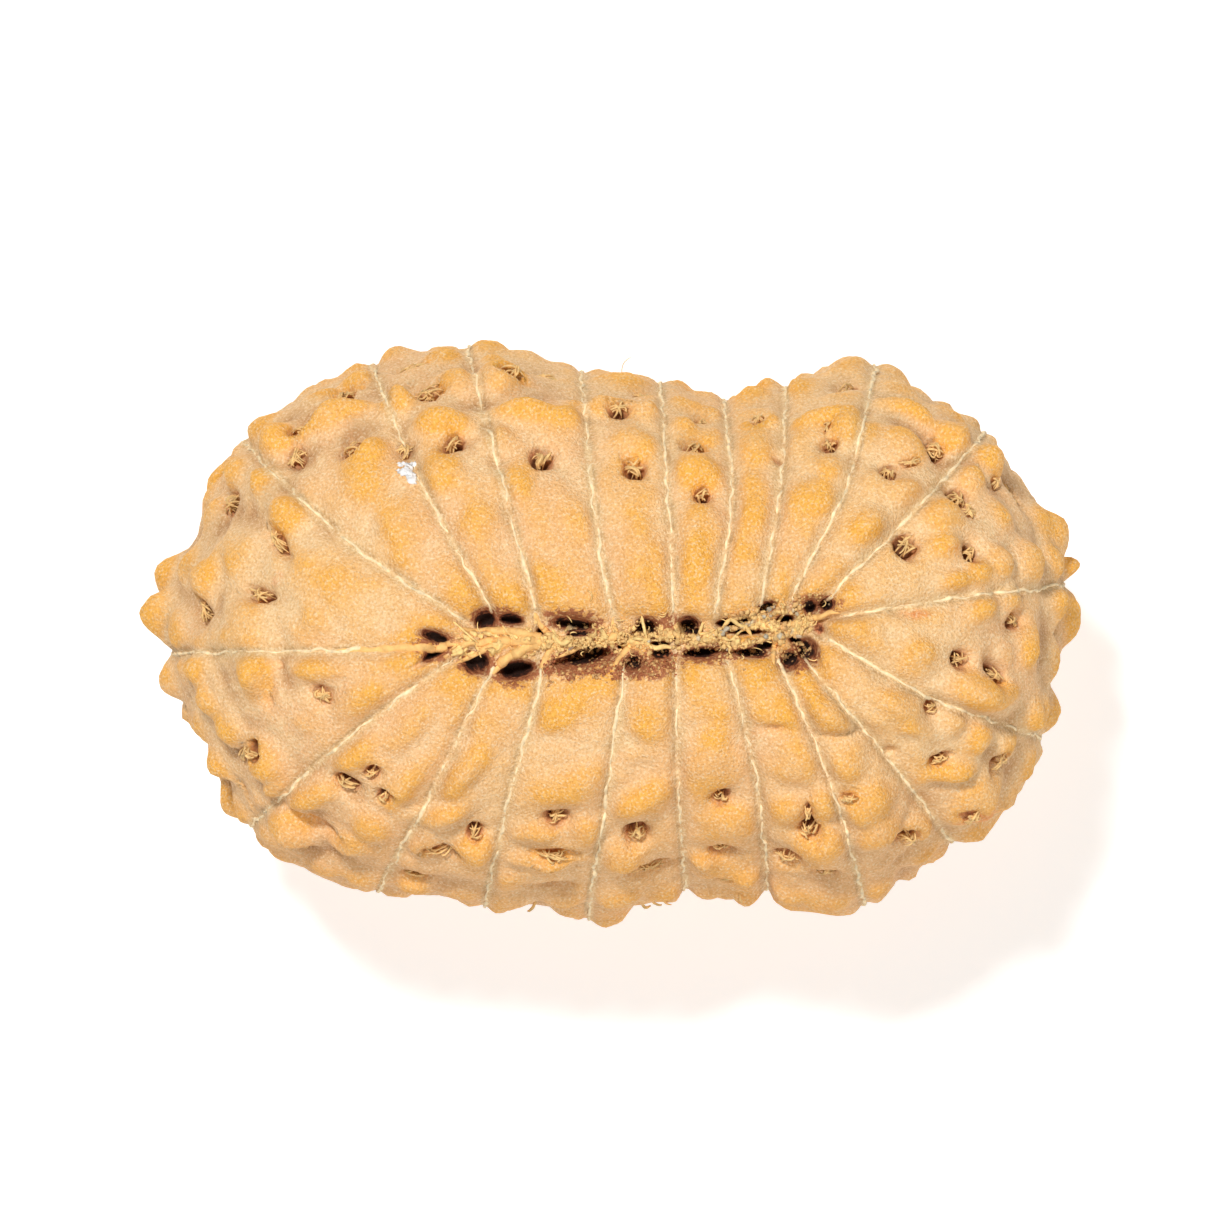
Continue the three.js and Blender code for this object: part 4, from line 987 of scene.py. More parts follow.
LEAST_CRUMB = 0.35
CRUMBS_ON_RIDGE = 0.28
CRUMB_LEVEL_ON_RIDGE = 0.16

# A crumbly ridge along the middle of the slit
RIDGE_STEPS = 340
RIDGE_ACROSS = 22
RIDGE_LOWEST = 19.9
RIDGE_FROM = -6.1
RIDGE_TO = 8.2
RIDGE_HALF = 0.3
RIDGE_CROWN = 0.17
RIDGE_SINK = 0.04
GAP_FALL = 1.5 * GAP_DEPTH
# Where the ridge is broadest and most grey
FULL_END = {"x": 6.0, "spread": 1.6, "half": 0.26, "grey": 0.5}
# How the ridge narrows at its ends, left and right
LEFT_TIP = {"x": -6.2, "over": 1.2, "least": 0.25}
RIGHT_TIP = {"x": 8.3, "over": 0.8, "least": 0.15}


def gap_level(x, y):
    """One inside a dark gap of the ridge, zero outside all of them."""
    flat = on_plan(x, y)
    level = np.zeros(len(x))
    for gap_x, gap_y, half_length, half_width in RIDGE_GAPS:
        q2 = ((x - gap_x) / half_length) ** 2 + ((y - gap_y) / half_width) ** 2
        level = np.maximum(level, np.exp(-(q2 * (1 + 0.5 * lumps(flat, 0.3, 100))) ** 2))
    return level


def crumbs_on_top(spots, rng):
    """Places, sizes, darkness and greyness of the crumbs in the upper slit."""
    groups = []
    for first, last, offset, spread, count, size, dark, grey in CRUMB_GROUPS:
        x = rng.uniform(first, last, count)
        y = spine_y(x) + offset + rng.normal(0, spread, count)
        sizes = size * rng.uniform(LEAST_CRUMB, 1, count)
        darks = np.minimum(1, dark * rng.uniform(0.2, 1, count))
        greys = (rng.uniform(0, 1, count) < grey) * rng.uniform(0.4, 1, count)
        groups.append(np.array([x, y, sizes, darks, greys]))
    values = np.concatenate(groups, axis=1)
    x, y, sizes, darks, greys = values[:, gap_level(values[0], values[1]) < 0.05]
    points = surface_places(x, y, spots)
    on_ridge = RIDGE_LOWEST + CRUMB_LEVEL_ON_RIDGE + 0.1 * lumps(points, 0.8, 101)
    near_middle = np.abs(y - spine_y(x)) < CRUMBS_ON_RIDGE
    points[:, 2] = np.where(near_middle, np.maximum(points[:, 2], on_ridge), points[:, 2])
    return points, sizes, darks, greys


def crumbs_underneath(spots, rng):
    x = rng.uniform(UNDER_CRUMBS["from"], UNDER_CRUMBS["to"], UNDER_CRUMBS["count"])
    y = spine_y(x) + rng.normal(0, UNDER_CRUMBS["spread"], len(x))
    points = surface_places(x, y, spots, underneath=True)
    points[:, 2] = np.maximum(points[:, 2] - 0.1, UNDER_CRUMBS["lowest"])
    sizes = UNDER_CRUMBS["size"] * rng.uniform(LEAST_CRUMB, 1, len(x))
    return points, sizes, rng.uniform(0.1, 0.7, len(x)), np.zeros(len(x))


def slit_crumbs(spots, material):
    rng = np.random.default_rng(SLIT_SEED)
    corners, ball_faces = ball()
    both = zip(crumbs_on_top(spots, rng), crumbs_underneath(spots, rng))
    points, sizes, darks, greys = [np.concatenate(values) for values in both]
    parts = []
    for n, point in enumerate(points):
        axes, _ = np.linalg.qr(rng.normal(size=(3, 3)))
        stretch = rng.uniform(0.55, 1.35, 3)
        rough = 1 + 0.3 * lumps(corners * 3 + n, 2.0, 21)[:, None]
        lump = (corners * rough * stretch) @ axes * sizes[n]
        height_above = sizes[n] * rng.uniform(-0.1, 0.7)
        parts.append((lump + point + np.array([0, 0, height_above]), ball_faces))
    attributes = {"dark": np.repeat(darks, len(corners)), "grey": np.repeat(greys, len(corners))}
    return joined_object("slit_crumbs", parts, material, attributes)


def slit_ridge(spots, material):
    x = np.linspace(RIDGE_FROM, RIDGE_TO, RIDGE_STEPS)
    v = np.linspace(-1, 1, RIDGE_ACROSS)
    along = on_plan(x, np.zeros(RIDGE_STEPS))
    full_end = np.exp(-(((x - FULL_END["x"]) / FULL_END["spread"]) ** 2))
    half = RIDGE_HALF + 0.12 * lumps(along, 1.8, 90) + FULL_END["half"] * full_end
    right = np.clip((RIGHT_TIP["x"] - x) / RIGHT_TIP["over"], RIGHT_TIP["least"], 1)
    left = np.clip((x - LEFT_TIP["x"]) / LEFT_TIP["over"], LEFT_TIP["least"], 1)
    half *= right * left
    middle = spine_y(x) + 0.12 * lumps(along, 1.6, 91)
    grid_x = np.repeat(x, RIDGE_ACROSS)
    grid_v = np.tile(v, RIDGE_STEPS)
    grid_y = np.repeat(middle, RIDGE_ACROSS) + grid_v * np.repeat(half, RIDGE_ACROSS)
    flat = on_plan(grid_x, grid_y)
    grid_y = grid_y + 0.13 * lumps(flat, 0.6, 92) + 0.08 * lumps(flat, 0.25, 89)
    points = surface_places(grid_x, grid_y, spots)
    crown = 1 - grid_v ** 2
    level = points[:, 2] * (1 - crown) + np.maximum(points[:, 2], RIDGE_LOWEST) * crown
    rough = 0.15 * lumps(flat, 0.7, 93) + 0.10 * lumps(flat, 0.3, 94) + 0.05 * lumps(flat, 0.14, 95)
    gap = gap_level(grid_x, grid_y)
    rise = crown * (RIDGE_CROWN + 0.08 * lumps(flat, 2.4, 96))
    points[:, 2] = level + rise + rough * crown ** 0.5 - RIDGE_SINK
    points[:, 2] -= GAP_FALL * gap
    faces = []
    for r in range(RIDGE_STEPS - 1):
        for c in range(RIDGE_ACROSS - 1):
            a = r * RIDGE_ACROSS + c
            faces.append([a, a + RIDGE_ACROSS, a + RIDGE_ACROSS + 1, a + 1])
    # Painted shade: the ridge is darker in its dips and along its sides, and black in its gaps
    dark = np.clip(0.85 - 6.5 * rough - 0.4 * crown, 0, 1) * (1 - gap) + 1.4 * gap
    grey = 1.6 * lumps(flat, 1.1, 97) - 0.9 + FULL_END["grey"] * np.repeat(full_end, RIDGE_ACROSS)
    attributes = {"dark": dark, "grey": np.clip(grey, 0, 0.7)}
    return mesh_object("slit_ridge", points, faces, attributes, material)


# Smooth folds of the shell that run from the slit out between the holes
# Each row is four points as x and y, and a radius
SLIT_FOLDS = [
    [[-6.5, -0.5], [-8.0, -0.56], [-9.8, -0.62], [-12.0, -0.75], 0.21],
    [[-2.6, -0.35], [-4.2, -0.22], [-5.6, -0.42], [-8.2, -0.62], 0.20],
    [[-3.6, -0.4], [-4.9, -0.45], [-5.9, -0.9], [-6.6, -1.6], 0.15],
    [[-2.9, -0.45], [-4.0, -0.7], [-4.6, -1.3], [-5.0, -2.0], 0.19],
    [[-1.9, -0.2], [-2.5, -0.55], [-2.7, -1.2], [-2.9, -1.9], 0.16],
    [[0.3, -0.1], [-0.6, -0.25], [-1.7, -0.65], [-2.4, -1.1], 0.15],
    [[-2.8, -0.1], [-4.0, 0.12], [-5.2, 0.18], [-6.5, 0.15], 0.16],
    [[-2.4, -0.1], [-2.8, 0.2], [-3.0, 0.6], [-3.1, 1.0], 0.13],
    [[0.3, -0.1], [0.1, 0.2], [0.0, 0.5], [0.1, 0.9], 0.12],
    [[1.1, -0.3], [0.6, -0.6], [0.2, -1.0], [0.1, -1.6], 0.13],
    [[6.6, 0.0], [6.5, -0.5], [6.35, -0.9], [6.5, -1.5], 0.13],
    [[7.2, 0.3], [7.8, 0.55], [8.4, 0.75], [9.4, 0.9], 0.14],
]
FOLD_STEPS = 40
FOLD_SIDES = 10


def slit_folds(spots, material):
    parts = []
    for number, row in enumerate(SLIT_FOLDS):
        flat = bent([np.array([x, y, 0.0]) for x, y in row[:4]], FOLD_STEPS)
        flat[:, 1] += 0.05 * lumps(flat, 0.8, 110 + number)
        points = surface_places(flat[:, 0], flat[:, 1], spots)
        f = np.linspace(0, 1, FOLD_STEPS)
        points[:, 2] = np.maximum(points[:, 2], RIDGE_LOWEST - 0.25 * f)
        taper = (1 - 0.55 * f ** 2) * np.clip((1 - f) / 0.2, 0.1, 1)
        radii = row[4] * taper * (1 + 0.22 * lumps(flat, 0.5, 130 + number))
        points[:, 2] += 0.02 - 0.6 * row[4] * f
        parts.append(tube(points, radii, FOLD_SIDES))
    return joined_object("slit_folds", parts, material)


# Strands that run along the slit, from x to an x within a range
SPINE_STRANDS = {"count": 2, "steps": 150, "sides": 7, "radius": 0.06, "limits": (0.02, 0.12)}
SPINE_STRAND_FROM = -6.3
SPINE_STRAND_TO = (6.0, 7.9)
# Short bundles on the ridge, which lean away from a middle
BUNDLES = {"count": 55, "steps": 16, "sides": 6, "radius": (0.05, 0.11), "limits": (0.015, 0.13)}
BUNDLE_SPAN = (-6.2, 7.8)
BUNDLE_SPREAD = 0.14
BUNDLE_SLANT = (0.1, 0.95)
BUNDLE_LENGTH = (0.25, 0.7)
BUNDLE_BEND = 0.5
BUNDLE_FALL = (0.1, 0.8)
HERRINGBONE_MIDDLE = 1.0
# Strands across the slit between the holes, and loose fibres
CROSS_STRANDS = {"count": 6, "steps": 14, "radius": 0.06, "span": (-6.0, 7.6)}
LOOSE_FIBRES = {"count": 60, "steps": 8, "radius": 0.025, "span": (-6.4, 8.4), "spread": 0.55}


def spine_strands(spots, rng):
    parts = []
    for strand in range(SPINE_STRANDS["count"]):
        x = np.linspace(SPINE_STRAND_FROM, rng.uniform(*SPINE_STRAND_TO), SPINE_STRANDS["steps"])
        flat = on_plan(x, spine_y(x))
        y = flat[:, 1] + 0.30 * lumps(flat, 2.2, 40 + strand) + 0.13 * lumps(flat, 0.7, 50 + strand)
        points = surface_places(x, y, spots)
        points[:, 2] = np.maximum(points[:, 2], RIDGE_LOWEST)
        points[:, 2] += 0.02 + 0.2 * lumps(flat, 1.0, 60 + strand)
        swell = 1 + 0.6 * lumps(flat, 0.4, 70 + strand) + 0.5 * lumps(flat, 2.0, 80 + strand)
        radii = np.clip(SPINE_STRANDS["radius"] * swell, *SPINE_STRANDS["limits"])
        parts.append(tube(points, radii, SPINE_STRANDS["sides"]))
    return parts


def short_bundles(spots, rng):
    parts = []
    for bundle in range(BUNDLES["count"]):
        x = rng.uniform(*BUNDLE_SPAN)
        y = spine_y(x) + rng.normal(0, BUNDLE_SPREAD)
        slant = rng.uniform(*BUNDLE_SLANT) * rng.choice([-1, 1])
        turn = slant if x > HERRINGBONE_MIDDLE else math.pi - slant
        if gap_level(np.array([x]), np.array([y]))[0] > 0.2:
            continue
        far = np.linspace(0, rng.uniform(*BUNDLE_LENGTH), BUNDLES["steps"])
        bend = rng.uniform(-BUNDLE_BEND, BUNDLE_BEND) * far ** 2
        path_x = x + far * math.cos(turn) - bend * math.sin(turn)
        path_y = y + far * math.sin(turn) + bend * math.cos(turn)
        points = surface_places(path_x, path_y, spots)
        fall = (far / far[-1]) ** 2 * rng.uniform(*BUNDLE_FALL)
        points[:, 2] = np.maximum(points[:, 2], RIDGE_LOWEST - fall)
        flat = on_plan(path_x, path_y, bundle)
        points[:, 2] += 0.04 + 0.05 * lumps(flat, 0.5, 99)
        thick = rng.uniform(*BUNDLES["radius"])
        radii = thick * (1 + 0.6 * lumps(flat, 0.25, 98)) * (1 - 0.6 * (far / far[-1]) ** 3)
        parts.append(tube(points, np.clip(radii, *BUNDLES["limits"]), BUNDLES["sides"]))
    return parts


def cross_strands(spots, rng):
    count = CROSS_STRANDS["count"]
    x = rng.uniform(*CROSS_STRANDS["span"], count)
    y = spine_y(x)
    side = rng.choice([-1, 1], count)
    outward = (x - HERRINGBONE_MIDDLE) / 8.0
    end_x = x + outward * rng.uniform(0.6, 1.5, count) + rng.normal(0, 0.2, count)
    end_y = y + side * rng.uniform(0.45, 0.95, count)
    middle_x = (x + end_x) / 2 - 0.12 * outward
    middle_y = (y + end_y) / 2 - 0.1 * side
    starts = surface_places(x, y, spots)
    ends = surface_places(end_x, end_y, spots)
    parts = []
    for n in range(count):
        top = max(starts[n][2], ends[n][2]) + 0.02
        first = np.array([middle_x[n], middle_y[n], top])
        second = np.array([0.3 * middle_x[n] + 0.7 * end_x[n], 0.3 * middle_y[n] + 0.7 * end_y[n], top])
        start = starts[n] + np.array([0, 0, 0.08])
        corners = [start, first, second, ends[n]]
        parts.append(fibre(rng, corners, CROSS_STRANDS["radius"], CROSS_STRANDS["steps"]))
    return parts


def loose_fibres(spots, rng):
    x = rng.uniform(*LOOSE_FIBRES["span"], LOOSE_FIBRES["count"])
    y = spine_y(x) + rng.normal(0, LOOSE_FIBRES["spread"], LOOSE_FIBRES["count"])
    parts = []
    for point in surface_places(x, y, spots):
        turn = rng.uniform(0, 2 * math.pi)
        ahead = np.array([math.cos(turn), math.sin(turn), 0]) * rng.uniform(0.15, 0.45)
        sideways = np.array([-math.sin(turn), math.cos(turn), 0]) * rng.uniform(-0.18, 0.18)
        level = np.array([0, 0, min(1, max(0.02, 20.0 - point[2]))])
        corners = [point + level, point + level + ahead * 0.4 + sideways + [0, 0, 0.1],
                   point + level + ahead * 0.8 + sideways + [0, 0, 0.08], point + level + ahead]
        parts.append(fibre(rng, corners, LOOSE_FIBRES["radius"], LOOSE_FIBRES["steps"]))
    return parts


def slit_strands(spots, material):
    rng = np.random.default_rng(SLIT_SEED + 1)
    parts = []
    for make in (spine_strands, short_bundles, cross_strands, loose_fibres):
        parts.extend(make(spots, rng))
    return joined_object("slit_strands", parts, material)


# Hairs and fibres that stand out at the rim
# Each row is four points as x, y and z, and a radius
RIM_HAIRS = [
    [[0.45, 10.2, 12.4], [0.4, 10.7, 12.8], [0.45, 10.95, 12.9], [0.8, 11.1, 12.9], 0.025],
    [[1.25, -10.4, 11.6], [1.2, -10.9, 11.7], [1.3, -11.25, 11.6], [1.6, -11.0, 11.5], 0.06],
    [[1.5, -10.3, 11.8], [1.55, -10.8, 11.9], [1.85, -11.05, 11.8], [2.05, -10.95, 11.7], 0.05],
    [[1.95, -10.2, 11.8], [2.0, -10.7, 11.9], [2.15, -11.0, 11.8], [2.45, -10.95, 11.7], 0.045],
    [[-3.0, -10.5, 12.4], [-3.05, -10.9, 12.6], [-3.1, -11.15, 12.5], [-3.35, -11.2, 12.3], 0.06],
    [[-2.9, -10.3, 12.6], [-3.1, -10.7, 12.7], [-3.3, -10.95, 12.6], [-3.55, -10.95, 12.5], 0.04],
    [[5.2, -10.2, 12.4], [5.15, -10.5, 12.6], [5.2, -10.8, 12.5], [5.3, -10.85, 12.4], 0.05],
]
HAIR_SEED = 77
HAIR_STEPS = 14


def rim_hairs(material):
    rng = np.random.default_rng(HAIR_SEED)
    rows = [([np.array(point) for point in points], radius) for *points, radius in RIM_HAIRS]
    parts = [fibre(rng, corners, radius, HAIR_STEPS) for corners, radius in rows]
    return joined_object("rim_hairs", parts, material)


# A small pale fleck of dried dust on one seam
FLECK = {"x": -8.1, "y": 6.4, "grains": 44}


def dust_fleck(spots, material):
    rng = np.random.default_rng(HAIR_SEED + 1)
    corners, ball_faces = ball()
    along = rng.uniform(-0.45, 0.4, FLECK["grains"])
    across = rng.normal(0, 0.1, FLECK["grains"]) * (1.4 + along)
    points = surface_places(FLECK["x"] - 0.35 * along + across, FLECK["y"] + along, spots)
    parts = []
    for point in points:
        scale = np.array([1, 1, 0.5]) * rng.uniform(0.07, 0.16)
        rough = 1 + 0.3 * lumps(corners * 2 + point, 1.5, 22)[:, None]
        parts.append((corners * rough * scale + point + [0, 0, 0.04], ball_faces))
    return joined_object("dust_fleck", parts, material)


# Surface of every piece
ROUGHNESS = 0.8
SPECULAR_LEVEL = 0.3


class Nodes:
    """Short calls for the nodes of one material."""

    def __init__(self, name):
        self.material = bpy.data.materials.new(name)
        self.material.use_nodes = True
        self.tree = self.material.node_tree
        self.shader = self.tree.nodes["Principled BSDF"]
        self.place = self.node("TexCoord", {}).outputs["Object"]

    def fill(self, socket, value):
        """Gives a socket a colour, a number or another node's output."""
        if isinstance(value, tuple):
            socket.default_value = (*value, 1.0)
        elif isinstance(value, (int, float)):
            socket.default_value = value
        else:
            self.tree.links.new(value, socket)

    def node(self, kind, values):
        node = self.tree.nodes.new("ShaderNode" + kind)
        for name, value in values.items():
            self.fill(node.inputs[name], value)
        return node

    def attribute(self, name):
        node = self.node("Attribute", {})
        node.attribute_name = name
        return node.outputs["Fac"]

    def noise(self, per_mm, detail, roughness=0.5):
        values = {"Vector": self.place, "Scale": per_mm / MM, "Detail": detail, "Roughness": roughness}
        return self.node("TexNoise", values).outputs["Fac"]

    def ranged(self, value, low, high, out_low=0.0, out_high=1.0):
        values = {"Value": value, "From Min": low, "From Max": high, "To Min": out_low, "To Max": out_high}
        return self.node("MapRange", values).outputs["Result"]

    def times(self, first, second):
        """The product, held between 0 and 1."""
        node = self.node("Math", {})
        node.operation = "MULTIPLY"
        node.use_clamp = True
        self.fill(node.inputs[0], first)
        self.fill(node.inputs[1], second)
        return node.outputs["Value"]

    def patchy(self, name, noise, low, high, least, most):
        """A mesh attribute that a noise makes stronger and weaker from place to place."""
        return self.times(self.attribute(name), self.ranged(noise, low, high, least, most))

    def mix(self, factor, first, second, blend_type="MIX"):
        node = self.node("Mix", {})
        node.data_type = "RGBA"
        node.blend_type = blend_type
        for socket, value in zip([s for s in node.inputs if s.enabled], (factor, first, second)):
            self.fill(socket, value)
        return [s for s in node.outputs if s.enabled][0]

    def bump(self, height, strength, distance_mm):
        values = {"Height": height, "Strength": strength, "Distance": distance_mm * MM}
        self.fill(self.shader.inputs["Normal"], self.node("Bump", values).outputs["Normal"])

    def finish(self, colour):
        self.fill(self.shader.inputs["Base Color"], colour)
        self.fill(self.shader.inputs["Roughness"], ROUGHNESS)
        self.fill(self.shader.inputs["Specular IOR Level"], SPECULAR_LEVEL)
        return self.material


# Colours in linear light
ORANGE = (0.88, 0.462, 0.12)
RIPE_YELLOW = (0.91, 0.465, 0.08)
PALE = (0.88, 0.585, 0.30)
PINK = (0.87, 0.525, 0.265)
SPECK_PALE = (0.93, 0.76, 0.52)
LOW_DUST = (0.89, 0.63, 0.35)
# Painted shade of the front side
FRONT_SHADE_TAN = (0.80, 0.42, 0.165)
GREYISH = (0.55, 0.385, 0.18)
BLUSH_RED = (0.80, 0.27, 0.09)
# Painted shade in the deepest hollows
PAINTED_HOLLOW_SHADE = (0.47, 0.22, 0.085)
# Painted shade in the hollows near the rim
PAINTED_RIM_HOLLOW_SHADE = (0.66, 0.37, 0.165)
DARK_GRAIN = (0.87, 0.75, 0.59)
LIGHT_GRAIN = (1.15, 1.205, 1.26)
SEAM_DUST = (0.84, 0.63, 0.36)
# Painted shadow of the seam grooves
SEAM_SHADOW_BROWN = (0.32, 0.17, 0.07)
# Brown inside the pits, together with their painted shade
PIT_BROWN_AND_SHADE = (0.19, 0.075, 0.03)
PIT_RIM = (0.52, 0.20, 0.085)
# Brown round the holes, partly painted shade
HALO_BROWN_AND_SHADE = (0.15, 0.045, 0.022)
SCORCH_RED = (0.42, 0.15, 0.07)
# Painted shadow: black in the deep middle of holes and in the gaps of the slit's ridge
PAINTED_HOLE_SHADOW = (0.030, 0.012, 0.007)
THREAD_PALE = (0.86, 0.69, 0.43)
FIBRE_PALE = (0.78, 0.52, 0.22)
FOLD_GOLD = (0.86, 0.52, 0.19)
CRUMB_PALE = (0.88, 0.62, 0.25)
CRUMB_DARK = (0.40, 0.13, 0.055)
CRUMB_GREY = (0.50, 0.46, 0.36)
FLECK_WHITE = (0.86, 0.87, 0.88)


def stone_material():
    nodes = Nodes("stone")
    mottle = nodes.noise(0.5, 3.0)
    tone = nodes.noise(0.16, 2.0)
    speckle = nodes.noise(9.0, 3.0, 0.65)
    specks = nodes.noise(10.0, 2.0, 0.55)
    dust = nodes.noise(1.5, 4.0, 0.62)
    ragged = nodes.noise(2.6, 4.0, 0.7)
    grains = nodes.noise(4.2, 3.0, 0.7)
    crest = nodes.attribute("crest")
    low = nodes.ranged(crest, 0.04, -0.12)
    high = nodes.ranged(crest, -0.08, 0.21)
    ripe = nodes.ranged(crest, 0.1, 0.28)
    pit_brown_and_shade = nodes.patchy("pit_brown_and_shade", dust, 0.35, 0.65, 0.7, 1.2)
    hole_brown_and_shade = nodes.patchy("hole_brown_and_shade", ragged, 0.35, 0.62, 0.6, 1.3)
    scorch = nodes.patchy("scorch", grains, 0.4, 0.58, 0.1, 1.7)
    blush = nodes.patchy("blush", dust, 0.35, 0.6, 0.3, 1.2)
    strip = nodes.ranged(nodes.attribute("seam"), 0.6, 0.92)

    # How much of each colour is laid over the ones before it
    coats = [
        (nodes.times(high, nodes.ranged(mottle, 0.36, 0.6, 0.45, 1.15)), ORANGE),
        (nodes.times(ripe, nodes.ranged(mottle, 0.4, 0.58, 0.1, 0.85)), RIPE_YELLOW),
        (nodes.times(nodes.times(low, nodes.ranged(dust, 0.38, 0.64)), 0.75), LOW_DUST),
        (nodes.times(nodes.patchy("seam", dust, 0.35, 0.6, 0.3, 1.0), 0.55), GREYISH),
        (nodes.ranged(blush, 0.2, 0.7, 0.0, 0.75), BLUSH_RED),
        # Painted shade: darker tan towards the -Y side, away from the key light
        (nodes.times(nodes.patchy("shaded_front", dust, 0.35, 0.6, 0.5, 1.0), 0.5), FRONT_SHADE_TAN),
        # Painted shade: a darker warm tan in the hollows near the rim
        (nodes.times(nodes.times(low, nodes.attribute("rim")), 0.35), PAINTED_RIM_HOLLOW_SHADE),
        # Painted shade: brown in the deepest hollows between the knobs
        (nodes.ranged(crest, -0.14, -0.4, 0.0, 0.75), PAINTED_HOLLOW_SHADE),
        (nodes.times(strip, nodes.ranged(ragged, 0.35, 0.6, 0.1, 0.8)), SEAM_DUST),
        # Painted shadow: a dark line beside each seam, where its groove is shaded
        (nodes.times(nodes.patchy("seam_shadow_line", dust, 0.4, 0.6, 0.0, 1.0), 0.5), SEAM_SHADOW_BROWN),
        (nodes.ranged(specks, 0.51, 0.65, 0.0, 0.52), SPECK_PALE),
        # Pits: a reddish edge, then brown with painted shade, darker the deeper and narrower the pit
        (nodes.ranged(pit_brown_and_shade, 0.2, 0.5, 0.0, 0.8), PIT_RIM),
        (nodes.ranged(pit_brown_and_shade, 0.5, 0.8), PIT_BROWN_AND_SHADE),
        (nodes.ranged(scorch, 0.22, 0.5, 0.0, 0.95), SCORCH_RED),
        # Round the holes: a reddish rim, then brown and painted shade that turns black in the deep middle of
        # each hole
        (nodes.ranged(hole_brown_and_shade, 0.26, 0.38), PIT_RIM),
        (nodes.ranged(hole_brown_and_shade, 0.36, 0.5), HALO_BROWN_AND_SHADE),
        (nodes.ranged(hole_brown_and_shade, 0.5, 0.66), PAINTED_HOLE_SHADOW),
    ]
    colour = nodes.mix(nodes.ranged(tone, 0.4, 0.62), PALE, PINK)
    for share, coat in coats:
        colour = nodes.mix(share, colour, coat)
    shade = nodes.mix(nodes.ranged(speckle, 0.3, 0.7), DARK_GRAIN, LIGHT_GRAIN)
    nodes.bump(speckle, 1.0, 0.10)
    return nodes.finish(nodes.mix(1.0, colour, shade, "MULTIPLY"))


def crumb_material():
    nodes = Nodes("crumb")
    dark = nodes.attribute("dark")
    colour = nodes.mix(nodes.ranged(dark, 0.0, 1.0), CRUMB_PALE, CRUMB_DARK)
    colour = nodes.mix(nodes.attribute("grey"), colour, CRUMB_GREY)
    # Painted shadow: black in the gaps of the slit's ridge
    colour = nodes.mix(nodes.ranged(dark, 1.0, 1.3), colour, PAINTED_HOLE_SHADOW)
    shade = nodes.ranged(nodes.noise(6.0, 2.0, 0.6), 0.3, 0.7, 0.7, 1.2)
    return nodes.finish(nodes.mix(1.0, colour, shade, "MULTIPLY"))


def fibre_material(name, colour, variation):
    nodes = Nodes(name)
    shade = nodes.ranged(nodes.noise(4.0, 3.0, 0.6), 0.3, 0.7, 1 - variation, 1 + variation)
    return nodes.finish(nodes.mix(1.0, colour, shade, "MULTIPLY"))


# View straight down the hole axis: lens and sensor in mm, width and centre of what is seen
LENS = 400
SENSOR = 36
VIEW_WIDTH = 49.4
VIEW_CENTRE = (-0.02, 0.91)
NEAREST_SEEN = 0.01
FURTHEST_SEEN = 10
# Lights: place and size in metres, power in watts
LIGHTS = {
    "key": ((-0.15, 0.26, 0.67), 0.1, 3.97),
    "fill": ((0.15, -0.3, 0.6), 0.2, 2.15),
}
WORLD_COLOUR = (1.0, 0.88, 0.73, 1)
WORLD_STRENGTH = 0.15
# A white floor that glows, so little shadow shows on it
FLOOR_GLOW = 0.36
FLOOR_WHITE = (0.9, 0.9, 0.9, 1)
FLOOR_ROUGHNESS = 0.9
FLOOR_HALF = 2.0


def add_camera():
    data = bpy.data.cameras.new("camera")
    data.lens = LENS
    data.sensor_width = SENSOR
    data.clip_start = NEAREST_SEEN
    data.clip_end = FURTHEST_SEEN
    distance = VIEW_WIDTH * LENS / SENSOR
    place = [value * MM for value in (*VIEW_CENTRE, WIDEST_Z + distance)]
    bpy.context.scene.camera = placed("camera", data, place)


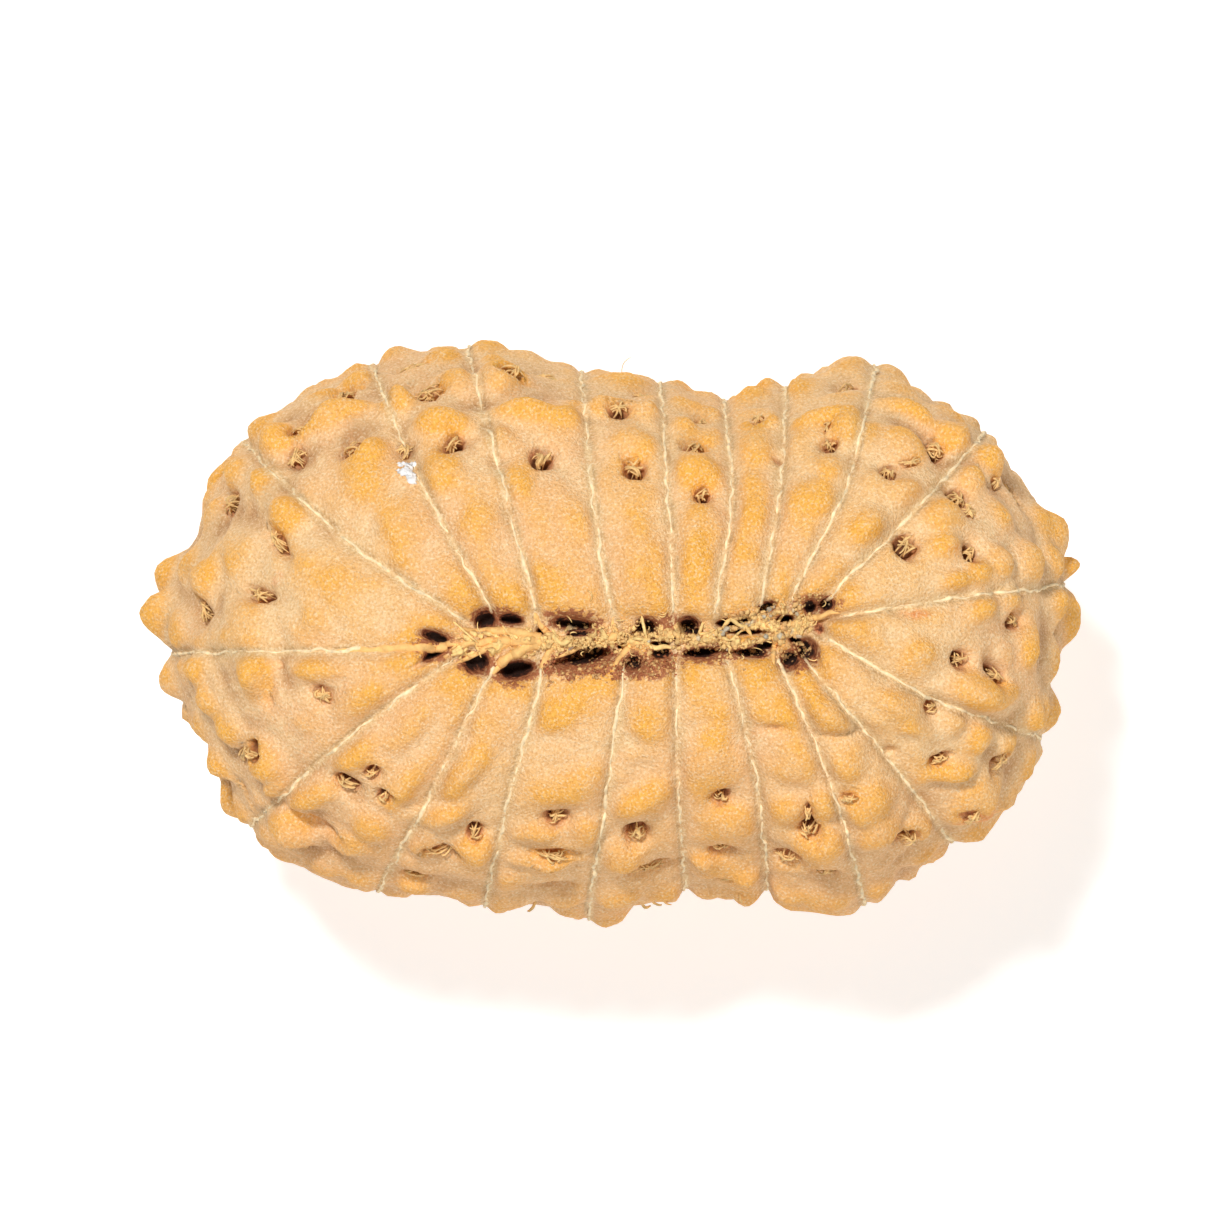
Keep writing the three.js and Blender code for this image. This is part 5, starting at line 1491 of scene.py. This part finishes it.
def add_area_light(name, place, size, power):
    data = bpy.data.lights.new(name, "AREA")
    data.shape = "SQUARE"
    data.size = size
    data.energy = power
    light = placed(name, data, place)
    light.rotation_euler = (-light.location).to_track_quat("-Z", "Y").to_euler()


def add_floor():
    mesh = bpy.data.meshes.new("floor")
    corners = [(x * FLOOR_HALF, y * FLOOR_HALF, 0) for x, y in ((-1, -1), (1, -1), (1, 1), (-1, 1))]
    mesh.from_pydata(corners, [], [(0, 1, 2, 3)])
    material = bpy.data.materials.new("floor")
    material.use_nodes = True
    shader = material.node_tree.nodes["Principled BSDF"]
    shader.inputs["Base Color"].default_value = FLOOR_WHITE
    shader.inputs["Roughness"].default_value = FLOOR_ROUGHNESS
    shader.inputs["Emission Color"].default_value = (1.0, 1.0, 1.0, 1)
    shader.inputs["Emission Strength"].default_value = FLOOR_GLOW
    mesh.materials.append(material)
    floor = placed("floor", mesh)
    floor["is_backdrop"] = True


def add_world():
    world = bpy.data.worlds.new("world")
    world.use_nodes = True
    background = world.node_tree.nodes["Background"]
    background.inputs["Color"].default_value = WORLD_COLOUR
    background.inputs["Strength"].default_value = WORLD_STRENGTH
    bpy.context.scene.world = world


def main():
    bpy.context.scene.view_settings.view_transform = "Standard"
    add_camera()
    add_floor()
    add_world()
    for name, (place, size, power) in LIGHTS.items():
        add_area_light(name, place, size, power)
    spots = collect_spots()
    stone(spots, stone_material())
    curls = fibre_material("fibre", FIBRE_PALE, 0.3)
    seam_threads(spots, fibre_material("thread", THREAD_PALE, 0.25))
    pit_fibres(spots, curls)
    crumbs = crumb_material()
    slit_ridge(spots, crumbs)
    slit_crumbs(spots, crumbs)
    slit_folds(spots, fibre_material("fold", FOLD_GOLD, 0.2))
    slit_strands(spots, fibre_material("strand", CRUMB_PALE, 0.3))
    rim_hairs(curls)
    dust_fleck(spots, fibre_material("fleck", FLECK_WHITE, 0.1))
    boxes = {"cad": CAD_BOX, "visual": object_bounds()}
    {name: [list(corner) for corner in box] for name, box in boxes.items()}


main()
